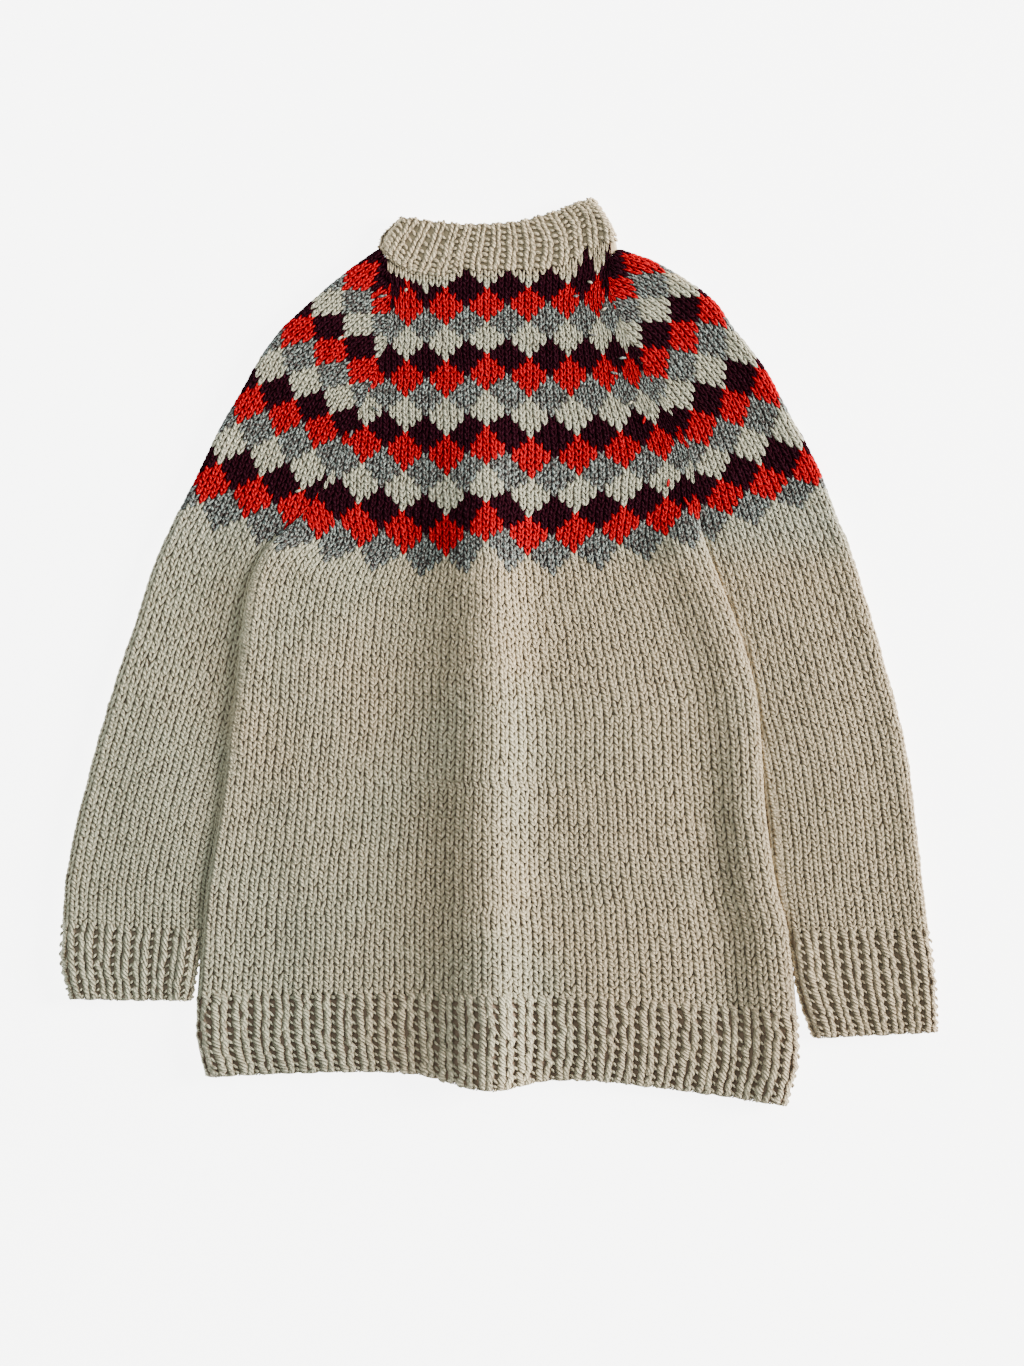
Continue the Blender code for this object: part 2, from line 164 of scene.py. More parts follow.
FOLDS = (
    Fold(-12.0, 275.0, -9.0, -395.0, 16.5, 43.0, 33.0, 0.38, 0.0),
    Fold(-205.0, 165.0, -214.0, -150.0, 5.0, 26.0, 95.0, 0.30, 0.45),
    Fold(-6.0, -290.0, -4.0, -355.0, 2.0, 18.0, 24.0, 0.45, 0.45),
    Fold(176.0, -30.0, 200.0, -345.0, -3.6, 22.0, 14.0, 0.45, 0.12),
    Fold(-188.0, -150.0, -192.0, -330.0, -1.1, 14.0, 16.0, 0.30, 0.20),
    Fold(95.0, 60.0, 80.0, -330.0, 1.6, 34.0, 44.0, 0.30, 0.20),
    Fold(-150.0, 90.0, -178.0, -250.0, 1.4, 40.0, 34.0, 0.30, 0.25),
    Fold(-196.0, 84.0, -118.0, 40.0, 1.8, 10.0, 12.0, 0.30, 0.55),
    Fold(171.0, 98.0, 112.0, 44.0, 1.8, 12.0, 10.0, 0.30, 0.55),
    Fold(-290.0, 20.0, -318.0, -190.0, 1.4, 22.0, 26.0, 0.30, 0.30),
    Fold(268.0, 60.0, 296.0, -200.0, 1.5, 22.0, 24.0, 0.30, 0.30),
)


class Course(NamedTuple):
    """Where one course of knitting crosses the seams and the middle of the body.

    curve is the power that shapes its sag, and lift how far the front's crest pulls it up.
    left_wide and right_wide are the width of a stitch on each side of that crest, and
    left_crush and right_crush the extra stitches that are squeezed in at each raglan seam.
    """

    number: float
    left_y: float
    right_y: float
    centre_y: float
    curve: float
    lift: float
    left_wide: float
    right_wide: float
    left_crush: float
    right_crush: float


FRONT_COURSES = (
    Course(2, 337.4, 337.9, 317.3, 4.0, 0.0, 6.10, 6.10, 1.5, 3.0),
    Course(6, 294.0, 304.5, 298.0, 3.0, 0.0, 6.15, 6.15, 2.0, 5.0),
    Course(18, 234.8, 240.8, 235.6, 2.4, 6.0, 6.00, 6.15, 1.0, 6.5),
    Course(30, 182.3, 184.0, 165.1, 2.0, 12.0, 6.05, 6.10, 0.2, 4.5),
    Course(42, 118.6, 124.7, 97.6, 2.0, 15.0, 6.50, 6.50, 0.0, 1.5),
    Course(48, 87.7, 90.0, 62.7, 2.0, 14.0, 6.60, 6.60, 0.0, 0.0),
    Course(78, -109.2, -115.4, -119.0, 2.0, 0.0, 0.0, 0.0, 0.0, 0.0),
    Course(107, -299.3, -313.9, -298.6, 2.0, -5.0, 0.0, 0.0, 0.0, 0.0),
)


class SleeveCourse(NamedTuple):
    """Where one course of a sleeve crosses its seam and its outer fold, and its stitch width."""

    number: float
    seam_y: float
    fold_y: float
    wide: float


LEFT_SLEEVE_COURSES = (
    SleeveCourse(2, 337.4, 344.8, 5.2),
    SleeveCourse(6, 294.0, 328.0, 5.25),
    SleeveCourse(18, 234.8, 282.0, 5.5),
    SleeveCourse(30, 182.3, 216.4, 5.5),
    SleeveCourse(42, 118.6, 147.8, 6.45),
    SleeveCourse(48, 87.7, 116.0, 6.7),
    SleeveCourse(68, -62.0, -44.0, 7.8),
    SleeveCourse(103, -242.6, -235.7, 8.0),
)
RIGHT_SLEEVE_COURSES = (
    SleeveCourse(2, 337.9, 344.8, 5.2),
    SleeveCourse(6, 304.5, 338.0, 5.25),
    SleeveCourse(18, 240.8, 298.0, 5.6),
    SleeveCourse(30, 184.0, 230.0, 5.6),
    SleeveCourse(42, 124.7, 156.5, 6.45),
    SleeveCourse(48, 92.0, 131.5, 6.7),
    SleeveCourse(68, -55.0, -20.0, 7.8),
    SleeveCourse(105, -244.3, -241.7, 8.0),
)


class RibRow(NamedTuple):
    """One line of ribbing, with how far it sags and how far it drops at the front's crest."""

    start_x: float
    start_y: float
    end_x: float
    end_y: float
    sag: float
    sag_curve: float
    ridge_drop: float


HEM_ROWS = (
    RibRow(-259.2, -299.3, 255.1, -313.9, -8.0, 2.0, 0.0),
    RibRow(-259.2, -335.4, 256.0, -354.4, -11.0, 2.2, 6.0),
    RibRow(-251.6, -366.5, 246.5, -390.5, -15.0, 1.8, 13.0),
)
LEFT_CUFF_ROWS = (
    RibRow(-256.4, -242.6, -376.1, -235.7, 0.0, 2.0, 0.0),
    RibRow(-260.6, -271.8, -377.0, -270.1, 0.0, 2.0, 0.0),
    RibRow(-266.0, -301.0, -369.2, -299.3, 0.0, 2.0, 0.0),
)
RIGHT_CUFF_ROWS = (
    RibRow(249.8, -244.3, 369.5, -241.7, 0.0, 2.0, 0.0),
    RibRow(257.2, -290.7, 375.5, -289.0, 0.0, 2.0, 0.0),
    RibRow(270.6, -332.9, 376.4, -327.7, 0.0, 2.0, 0.0),
)


class BandEdge(NamedTuple):
    """One point of the neckband's upper edge."""

    x: float
    y: float


class BandLean(NamedTuple):
    """How far the band's courses shift up towards its edge, at one share of its width."""

    across: float
    shift: float


BAND_LEANS = (
    BandLean(0.0, 0.0),
    BandLean(0.08, -1.1),
    BandLean(0.26, -0.9),
    BandLean(0.34, 0.0),
    BandLean(0.76, 0.0),
    BandLean(0.88, 1.1),
    BandLean(0.95, 0.8),
    BandLean(1.0, -0.3),
)
# Where the band's cream ends over the left front, below the neck opening
CREAM_FOOT = (
    BandEdge(-104.0, 334.0),
    BandEdge(-92.3, 321.6),
    BandEdge(-85.4, 319.9),
    BandEdge(-63.9, 312.1),
    BandEdge(-51.0, 315.6),
    BandEdge(-44.0, 322.4),
)
BAND_TOP = (
    BandEdge(-85.7, 372.0),
    BandEdge(-52.0, 368.0),
    BandEdge(-20.0, 366.0),
    BandEdge(15.0, 368.5),
    BandEdge(48.7, 377.5),
    BandEdge(82.0, 389.0),
)


class Side(Enum):
    """Left or right as the photo shows the garment."""

    LEFT = "left"
    RIGHT = "right"


class Layers(Enum):
    """The layers that a piece of ribbing has: the upper one, the lower one or both."""

    UPPER = (True, False)
    LOWER = (False, True)
    BOTH = (True, True)


class Colour(IntEnum):
    """The yarns of the garment and cream with painted shade, in the order of a mesh's materials."""

    CREAM = 0
    RED = 1
    GREY = 2
    BLACK = 3
    # Cream with painted shade, for the base between the ribs
    SHADED = 4


class Loop(NamedTuple):
    """A loop of yarn that stands out of the yoke, with its turn in degrees."""

    x: float
    y: float
    length: float
    turn: float
    colour: Colour


# Loops that have slipped forward along the raglan seams
LOOPS = (
    Loop(-137.0, 268.3, 5.0, 40.0, Colour.CREAM),
    Loop(-131.0, 246.8, 6.0, 25.0, Colour.GREY),
    Loop(-100.9, 304.4, 8.0, 15.0, Colour.GREY),
    Loop(-127.6, 185.7, 7.0, 70.0, Colour.GREY),
    Loop(-106.1, 207.2, 8.0, -35.0, Colour.GREY),
    Loop(-173.1, 136.7, 5.0, 20.0, Colour.CREAM),
    Loop(-80.3, 309.6, 3.5, 60.0, Colour.CREAM),
    Loop(78.0, 316.4, 4.5, -20.0, Colour.CREAM),
    Loop(65.9, 304.4, 5.0, 10.0, Colour.GREY),
    Loop(90.0, 293.2, 5.5, 30.0, Colour.CREAM),
    Loop(79.7, 270.9, 6.0, 0.0, Colour.GREY),
    Loop(105.5, 251.1, 7.0, 5.0, Colour.GREY),
    Loop(98.6, 238.2, 6.0, -15.0, Colour.GREY),
    Loop(112.4, 212.4, 5.5, 35.0, Colour.CREAM),
    Loop(131.3, 206.4, 5.0, 80.0, Colour.CREAM),
    Loop(124.4, 197.8, 7.0, 75.0, Colour.RED),
    Loop(145.1, 143.6, 7.0, 80.0, Colour.RED),
    Loop(160.5, 128.1, 8.0, -60.0, Colour.RED),
)

# The yoke's chart: bands of diamonds six stitches wide, each band three courses below the last
BANDS = (Colour.BLACK, Colour.RED, Colour.GREY, Colour.CREAM)
BAND_COURSES = 3
BAND_COUNT = 15
REPEAT = 6


def charted(course: np.ndarray, wale: np.ndarray) -> np.ndarray:
    """The yarn of each stitch of the yoke and of the plain body under it.

    Args:
        course: Courses counted from the neckband.
        wale: Stitches counted from the middle of a red diamond.

    Returns:
        The Colour of each stitch, as whole numbers.
    """
    band = np.floor_divide(course, BAND_COURSES)
    row = np.mod(course, BAND_COURSES)
    cycle = np.array(BANDS, int)

    def yarn_of(number: np.ndarray) -> np.ndarray:
        """The yarn of a band, plain cream outside the pattern."""
        inside = (number >= 0) & (number < BAND_COUNT)
        return np.where(inside, cycle[np.mod(number, len(BANDS))], int(Colour.CREAM))

    middle = np.where(np.mod(band, 2) == 0, REPEAT // 2, 0)
    away = np.abs(np.mod(wale - middle + REPEAT // 2, REPEAT) - REPEAT // 2)
    return np.where(away <= row, yarn_of(band), yarn_of(band - 1))


def between(rows: tuple[NamedTuple, ...], place: np.ndarray) -> np.ndarray:
    """Values at places on smooth curves through a table's rows.

    Args:
        rows: The table, with named columns.
        place: Places along it, where 0 is the first row and 1 the second.

    Returns:
        An array with one more axis than place, of the table's columns.
    """
    table = np.array(rows, float)
    last = len(table) - 1
    index = np.clip(np.asarray(place, float).astype(int), 0, last - 1)
    part = (np.asarray(place, float) - index)[..., None]
    before = table[np.maximum(index - 1, 0)]
    start = table[index]
    end = table[index + 1]
    after = table[np.minimum(index + 2, last)]
    bend = (2 * before - 5 * start + 4 * end - after) * part**2
    twist = (3 * start - before - 3 * end + after) * part**3
    return 0.5 * (2 * start + (end - before) * part + bend + twist)


def at_course(rows: tuple[NamedTuple, ...], number: float) -> list[float]:
    """A table of courses read at any course, in straight steps between its rows."""
    table = np.array(rows, float)
    return [float(np.interp(number, table[:, 0], table[:, k])) for k in range(table.shape[1])]


def ease(value: np.ndarray) -> np.ndarray:
    """Smooth step from 0 to 1."""
    part = np.clip(value, 0.0, 1.0)
    return part * part * (3.0 - 2.0 * part)


def fold_height(x: np.ndarray, y: np.ndarray) -> np.ndarray:
    """Height of all the folds over the flat cloth.

    Args:
        x: Places across the garment.
        y: Places along it, in the same number.

    Returns:
        The height at each place.
    """
    total = np.zeros(np.broadcast(x, y).shape)
    for fold in FOLDS:
        run_x = fold.end_x - fold.start_x
        run_y = fold.end_y - fold.start_y
        length = math.hypot(run_x, run_y)
        share = ((x - fold.start_x) * run_x + (y - fold.start_y) * run_y) / length**2
        aside = ((x - fold.start_x) * run_y - (y - fold.start_y) * run_x) / length
        width = np.where(aside > 0, fold.left_width, fold.right_width)
        ends = ease(share / fold.fade_in)
        if fold.fade_out > 0:
            ends = ends * ease((1.0 - share) / fold.fade_out)
        total = total + fold.height * ends * np.exp(-((aside / width) ** 2))
    return total


def neckline(x: np.ndarray, dip: float) -> np.ndarray:
    """Where the neck opening crosses each place across the garment."""
    share = np.minimum(np.abs(x - NECK_CENTRE_X) / NECK_HALF_WIDTH, 1.0)
    return NECK_Y - dip * (1.0 - share**NECK_CURVE)


class Outline:
    """The seams and folds of the garment, read at any height."""

    STEPS = 400

    def __init__(self) -> None:
        """Read the outline's table closely enough to look places up in it."""
        place = np.linspace(0.0, len(SIDES) - 1.0, self.STEPS)
        self.place = place
        self.rows = between(SIDES, place)

    def at(self, column: str, y: float) -> tuple[float, float]:
        """A point of a seam or a fold.

        Args:
            column: The name of its column without the axis, such as left or right_fold.
            y: The height on the garment.

        Returns:
            Its x, and how far down the table it is.
        """
        fields = OutlineRow._fields
        along_y = self.rows[:, fields.index(column + "_y")]
        along_x = self.rows[:, fields.index(column + "_x")]
        x = float(np.interp(-y, -along_y, along_x))
        return x, float(np.interp(-y, -along_y, self.place))

    def roll(self, place: float) -> float:
        """How far the layers roll down towards each other at a place down the table."""
        return float(ease((place / ARMPIT_ROW - ROLL_STARTS) / (1.0 - ROLL_STARTS)))


OUTLINE = Outline()


@dataclass
class Line:
    """A course across a piece on plan, with how far each of its ends rolls under.

    Attributes:
        start: Its first end.
        end: Its other end.
        start_roll: How far the start rolls under, from 0 to 1.
        end_roll: How far the end does.
        end_is_seam: Whether it ends at a seam, or else at a fold.
        sag: How far its middle hangs below its ends.
        sag_curve: The power that shapes the sag.
        lift: How far the front's crest pulls it up.
        lift_left: How far from the crest that reaches on the left.
        lift_right: How far it reaches on the right.
        seam_puff: How far the cloth puffs up beside a seam.
        seam_reach: How far in that reaches.
        start_share: How much of that puff the start has.
        end_inset: How far in from the end that puff has its top.
    """

    start: tuple[float, float]
    end: tuple[float, float]
    start_roll: float
    end_roll: float
    end_is_seam: bool = True
    sag: float = 0.0
    sag_curve: float = 2.0
    lift: float = 0.0
    lift_left: float = 15.0
    lift_right: float = 19.0
    seam_puff: float = FOLD_PUFF
    seam_reach: float = PUFF_REACH
    start_share: float = 1.0
    end_inset: float = 0.0

    ARC_STEPS = 7
    FLAT_STEPS = 150

    def __post_init__(self) -> None:
        """Work out the line's length and direction."""
        run = np.subtract(self.end, self.start)
        self.length = float(np.hypot(*run))
        self.direction = run / self.length

    def place(self, along: np.ndarray) -> tuple[np.ndarray, np.ndarray]:
        """Plan position at distances along the line.

        Args:
            along: The distances.

        Returns:
            The x and the y of each place.
        """
        x = self.start[0] + self.direction[0] * along
        y = self.start[1] + self.direction[1] * along
        share = np.minimum(np.abs(2.0 * along / self.length - 1.0), 1.0)
        y = y - self.sag * (1.0 - share**self.sag_curve)
        if self.lift:
            width = np.where(x < CREST_X, self.lift_left, self.lift_right)
            y = y + self.lift * np.exp(-(((x - CREST_X) / width) ** 2))
        return x, y

    def centres(self) -> tuple[float, float, float, float]:
        """Where the ends start to roll under.

        Returns:
            How far along that is at the start and at the end, and the angle of each roll.
        """
        inset = -SEAM_OVERLAP / 2
        start_turn = self.start_roll * math.pi / 2
        end_turn = self.end_roll * math.pi / 2
        start = inset + (FOLD_REACH - EDGE_SPREAD) * math.sin(start_turn)
        if not self.end_is_seam:
            end_turn = math.pi / 2
            inset = 0.0
        end = self.length - inset - (FOLD_REACH - EDGE_SPREAD) * math.sin(end_turn)
        return start, max(end, start), start_turn, end_turn

    def height(self, along: np.ndarray) -> np.ndarray:
        """Height of the cloth's upper face.

        Args:
            along: Distances along the line.

        Returns:
            The height at each of them.
        """
        start, end, _, _ = self.centres()
        inside = np.clip(along, start, end)
        x, y = self.place(inside)
        end_puff, end_reach = FOLD_PUFF, PUFF_REACH
        if self.end_is_seam:
            end_puff, end_reach = self.seam_puff, self.seam_reach
        from_start = ((inside - start) / self.seam_reach) ** 2
        from_end = ((end - inside - self.end_inset) / end_reach) ** 2
        puff = self.seam_puff * self.start_share * self.start_roll * np.exp(-from_start)
        puff = puff + end_puff * self.end_roll * np.exp(-from_end)
        return FLAT_HEIGHT + fold_height(x, y) + puff

    def profile(self, upper: bool) -> tuple[np.ndarray, np.ndarray]:
        """The outer face of one layer along the line, its rolled ends included.

        Args:
            upper: The upper layer, or else the one that lies on the ground.

        Returns:
            Points and outward normals, each an array of rows of three.
        """
        start, end, start_turn, end_turn = self.centres()
        side = 1.0 if upper else -1.0
        along, height, out_along, out_up = [], [], [], []

        def rolled(centre: float, turns: np.ndarray, outwards: float) -> None:
            """Add the spots of one rolled end.

            Args:
                centre: How far along the line the roll starts.
                turns: The angles of the spots.
                outwards: 1.0 at the line's end and -1.0 at its start.
            """
            half = float(self.height(np.array(centre))) / 2
            along.append(centre + outwards * FOLD_REACH * np.sin(turns))
            height.append(half + side * half * np.cos(turns))
            out_along.append(outwards * np.sin(turns))
            out_up.append(side * np.cos(turns))

        if start_turn > 0:
            rolled(start, np.linspace(start_turn, 0.0, self.ARC_STEPS, endpoint=False), -1.0)
        flat = np.linspace(start, end, self.FLAT_STEPS)
        along.append(flat)
        if upper:
            slope = (self.height(flat + 1.0) - self.height(flat - 1.0)) / 2.0
            size = np.hypot(slope, 1.0)
            height.append(self.height(flat))
            out_along.append(-slope / size)
            out_up.append(1.0 / size)
        else:
            height.append(np.zeros_like(flat))
            out_along.append(np.zeros_like(flat))
            out_up.append(-np.ones_like(flat))
        if end_turn > 0:
            turns = np.linspace(0.0, end_turn, self.ARC_STEPS + 1)[1:]
            rolled(end, turns, 1.0)
        spots = np.concatenate(along)
        across = np.concatenate(out_along)
        x, y = self.place(spots)
        points = np.stack([x, y, np.concatenate(height)], axis=1)
        normals = np.stack(
            [across * self.direction[0], across * self.direction[1], np.concatenate(out_up)], axis=1
        )
        return points, normals


@dataclass
class Strip:
    """One course line in space, with the distance along it.

    Attributes:
        points: Its spots, in rows of three.
        normals: The outward direction at each.
    """

    points: np.ndarray
    normals: np.ndarray

    def __post_init__(self) -> None:
        """Measure the line."""
        steps = np.linalg.norm(np.diff(self.points, axis=0), axis=1)
        self.along = np.concatenate([[0.0], np.cumsum(steps)])
        self.length = float(self.along[-1])

    def read(self, places: np.ndarray) -> tuple[np.ndarray, np.ndarray]:
        """Points and normals at places on the line.

        Args:
            places: Distances along it.

        Returns:
            The points and the normals, in rows of three.
        """
        columns = range(3)
        points = [np.interp(places, self.along, self.points[:, k]) for k in columns]
        normals = np.stack([np.interp(places, self.along, self.normals[:, k]) for k in columns], -1)
        size = np.linalg.norm(normals, axis=-1, keepdims=True)
        return np.stack(points, -1), normals / size

    def snug(self, places: np.ndarray) -> np.ndarray:
        """Places along the line, those that would leave a sliver at an end moved to that end."""
        places = np.where(places < SLIVER, 0.0, places)
        return np.where(places > self.length - SLIVER, self.length, places)

    def along_at_x(self, x: float) -> float:
        """Distance along the line to the spot nearest to one x."""
        return float(self.along[np.argmin(np.abs(self.points[:, 0] - x))])


@dataclass
class Knitting:
    """The corners of every stitch of a piece, a row of them for each course line.

    Attributes:
        points: Corners by course, then wale.
        normals: The outward direction at each corner.
        yarns: The Colour of each stitch, or -1 where there is none.
        first_course: The number of the first course.
    """

    points: np.ndarray
    normals: np.ndarray
    yarns: np.ndarray
    first_course: int = 0

    # The waves that courses wander in, and how many stitches from an edge stay nearer their line
    WAVES = 5
    SHORTEST = 22.0
    LONGEST = 80.0
    STEADY = 2.0

    @classmethod
    def from_strips(
        cls, strips: list[Strip], places: list[np.ndarray], first: int = 0
    ) -> "Knitting":
        """Read the stitches' corners off course lines.

        Args:
            strips: The course lines, from the neck down.
            places: The distances along each line at which its wales part.
            first: The number of the first course.

        Returns:
            The knitting, all in cream.
        """
        read = [strip.read(place) for strip, place in zip(strips, places)]
        points = np.stack([pair[0] for pair in read])
        normals = np.stack([pair[1] for pair in read])
        shape = (points.shape[0] - 1, points.shape[1] - 1)
        return cls(points, normals, np.zeros(shape, int), first)

    def drop_slivers(self) -> None:
        """Leave out the stitches that have no width."""
        wide = np.linalg.norm(np.diff(self.points, axis=1), axis=2)
        self.yarns = np.where(wide[1:] + wide[:-1] < SLIVER, -1, self.yarns)

    def edge_relief(self) -> np.ndarray:
        """How far the base cloth is raised, which it is only along its seams.

        Returns:
            The height at each corner.
        """
        gone = np.cumsum(np.linalg.norm(np.diff(self.points, axis=1), axis=2), axis=1)
        before = np.concatenate([np.zeros((len(gone), 1)), gone], axis=1)
        after = before[:, -1:] - before
        return EDGE_LIFT * (np.minimum(before, after) < SLIVER / 2.0)

    def keep_band_cream(self) -> None:
        """Leave the stitches cream that lie above the foot of the band's cream."""
        x = (self.points[:-1, :-1, 0] + self.points[:-1, 1:, 0]) / 2.0
        y = (self.points[:-1, :-1, 1] + self.points[1:, :-1, 1]) / 2.0
        foot = np.array(CREAM_FOOT)
        edge = np.interp(x, foot[:, 0], foot[:, 1], right=math.inf)
        self.yarns = np.where((self.yarns >= 0) & (y > edge), int(Colour.CREAM), self.yarns)

    def wander(self, seed: int, amount: float) -> None:
        """Let courses and wales wander a little from their lines, as hand knitting does.

        Args:
            seed: Picks one pattern of wandering.
            amount: The largest drift, in millimetres.
        """
        chance = np.random.default_rng(seed)
        x, y = self.points[..., 0], self.points[..., 1]
        for axis in range(2):
            drift = np.zeros_like(x)
            for _ in range(self.WAVES):
                length = chance.uniform(self.SHORTEST, self.LONGEST)
                turn, phase = chance.uniform(0.0, 2.0 * math.pi, 2)
                wave = (x * math.cos(turn) + y * math.sin(turn)) * 2.0 * math.pi / length
                drift += np.sin(wave + phase) / self.WAVES
            shares = []
            for count in x.shape:
                from_edge = np.minimum(np.arange(count), np.arange(count)[::-1])
                shares.append(np.minimum(from_edge / self.STEADY, 1.0))
            free = shares[1][None, :] * shares[0][:, None]
            self.points[..., axis] += amount * drift * free


class LegShape(NamedTuple):
    """A leg of a stitch on its cell: top, middle and foot across, then how it runs down.

    Across and the width are in stitch widths from the middle of the stitch, and down in courses.
    thick is its height and rise how far it arches up, in millimetres. twist says how clearly its
    plies show, pale how much painted light it keeps against painted shade, and loose how much such
    legs differ from each other.
    """

    top_across: float
    mid_across: float
    foot_across: float
    top_down: float
    foot_down: float
    half_width: float
    thick: float
    rise: float
    twist: float
    pale: float = 1.0
    loose: float = 1.0


@dataclass
class YarnMesh:
    """Gathers strands of yarn and makes one mesh of them.

    Attributes:
        name: The name of the piece.
        stations: Sections along each strand.
        rounds: Points over each section.
        parts: What has been added so far.
    """

    name: str
    stations: int = 5
    rounds: int = 5
    parts: list[tuple[np.ndarray, ...]] = field(default_factory=list)

    # How much legs differ from each other: across, down, in width and in how far they rise
    TOP_STRAYS = 0.034
    MIDDLE_STRAYS = 0.030
    FOOT_STRAYS = 0.028
    START_STRAYS = 0.06
    END_STRAYS = 0.07
    WIDTH_VARIES = 0.09
    RISE_VARIES = 0.15

    # A strand's ends: how far they taper, how deep they sink, and what is left there of its
    # height and of its painted light, the rest being painted shade
    TAPER = 0.10
    TAPER_CURVE = 0.6
    SUNK = 0.25
    END_HEIGHT = 0.45
    END_PAINTED_LIGHT = 0.35

    # The bare rim of a strand's patch of the texture map, as a share of the patch
    PATCH_MARGIN = 0.08

    def add(
        self,
        centres: np.ndarray,
        sides: np.ndarray,
        ups: np.ndarray,
        yarns: np.ndarray,
        shape: LegShape,
        chance: np.random.Generator,
    ) -> None:
        """Add strands of one shape.

        Args:
            centres: Middle of each section's foot, by strand and station.
            sides: Half the section's width as a vector, by strand and station.
            ups: The section's height as a vector, by strand and station.
            yarns: The Colour of each strand.
            shape: Says how clearly the plies show, and how much painted shade the strand gets.
            chance: Gives each strand its own tone.
        """
        count = len(centres)
        turns = np.linspace(0.0, math.pi, self.rounds)
        across = -np.cos(turns)[None, None, :, None]
        over = np.sin(turns)[None, None, :, None]
        points = centres[:, :, None] + sides[:, :, None] * across + ups[:, :, None] * over
        steps = np.linalg.norm(np.diff(centres, axis=1), axis=2)
        run = np.concatenate([np.zeros((count, 1)), np.cumsum(steps, axis=1)], axis=1)
        strand = np.zeros(points.shape[:3] + (3,))
        width = np.linalg.norm(sides, axis=2)
        strand[..., 0] = across[..., 0] * width[:, :, None]
        strand[..., 1] = run[:, :, None]
        strand[..., 2] = chance.random(count)[:, None, None]
        # Painted shade: the strand's colour darkens towards its flanks and its ends
        rise = np.broadcast_to(over[..., 0], points.shape[:3])
        ends = np.sin(math.pi * (TUCK + SHOWN * np.linspace(0.0, 1.0, self.stations))) ** 0.5
        shown = self.END_PAINTED_LIGHT + (1.0 - self.END_PAINTED_LIGHT) * ends
        painted_light = shape.pale * rise * shown[None, :, None]
        plies = np.full(points.shape[:3], shape.twist)
        self.parts.append((points, strand, painted_light, plies, np.asarray(yarns, int)))

    def legs(
        self,
        knitting: Knitting,
        cells: np.ndarray,
        shape: LegShape,
        mirrored: bool,
        chance: np.random.Generator,
    ) -> None:
        """Add one leg of each of some stitches.

        Args:
            knitting: The stitches' corners.
            cells: Course and wale of each stitch.
            shape: The leg.
            mirrored: Lean it to the left in place of the right.
            chance: Makes each leg a little different.
        """
        count = len(cells)
        if not count:
            return

        def varied(value: float, amount: float) -> np.ndarray:
            """A value for each leg, a little off the shape's own."""
            return value + chance.normal(0.0, amount, (count, 1))

        flip = -1.0 if mirrored else 1.0
        share = np.linspace(0.0, 1.0, self.stations)[None, :]
        top = varied(shape.top_across, self.TOP_STRAYS * shape.loose)
        middle = varied(shape.mid_across, self.MIDDLE_STRAYS * shape.loose)
        foot = varied(shape.foot_across, self.FOOT_STRAYS * shape.loose)
        bulge = 4.0 * share * (1.0 - share)
        across = top + (foot - top) * share + (middle - (top + foot) / 2.0) * bulge
        start = varied(shape.top_down, self.START_STRAYS)
        end = varied(shape.foot_down, self.END_STRAYS)
        down = start + (end - start) * share
        fat = varied(1.0, self.WIDTH_VARIES)
        taper = math.pi * (self.TAPER + (1.0 - 2.0 * self.TAPER) * share)
        body = np.sin(taper) ** self.TAPER_CURVE
        half = shape.half_width * fat * body
        course, wale = cells[:, 0], cells[:, 1]
        right = (0.5 + flip * across)[..., None]
        below = down[..., None]

        def read(values: np.ndarray) -> np.ndarray:
            """Values along each leg, worked out from its cell's corners.

            Args:
                values: A row of three for each corner of the knitting.

            Returns:
                A row of three for each section of each leg.
            """
            near = values[course, wale][:, None] * (1.0 - right)
            near = near + values[course, wale + 1][:, None] * right
            far = values[course + 1, wale][:, None] * (1.0 - right)
            far = far + values[course + 1, wale + 1][:, None] * right
            return near * (1.0 - below) + far * below

        base = read(knitting.points)
        normal = read(knitting.normals)
        normal /= np.linalg.norm(normal, axis=2, keepdims=True)
        widths = np.linalg.norm(np.diff(knitting.points, axis=1), axis=2)
        wide = ((widths[course, wale] + widths[course + 1, wale]) / 2.0)[:, None, None]
        forward = np.gradient(base, axis=1)
        forward /= np.linalg.norm(forward, axis=2, keepdims=True)
        side = np.cross(normal, forward)
        side /= np.linalg.norm(side, axis=2, keepdims=True)
        arch = np.sin(math.pi * (TUCK + SHOWN * share))[..., None] - self.SUNK
        lifted = shape.rise * arch * varied(1.0, self.RISE_VARIES)[..., None]
        thinned = (self.END_HEIGHT + (1.0 - self.END_HEIGHT) * body)[..., None]
        thick = shape.thick * thinned * np.ones((count, 1, 1))
        centres = base + normal * (lifted - BASE_DEPTH)
        sides = side * half[..., None] * wide
        self.add(centres, sides, normal * thick, knitting.yarns[course, wale], shape, chance)

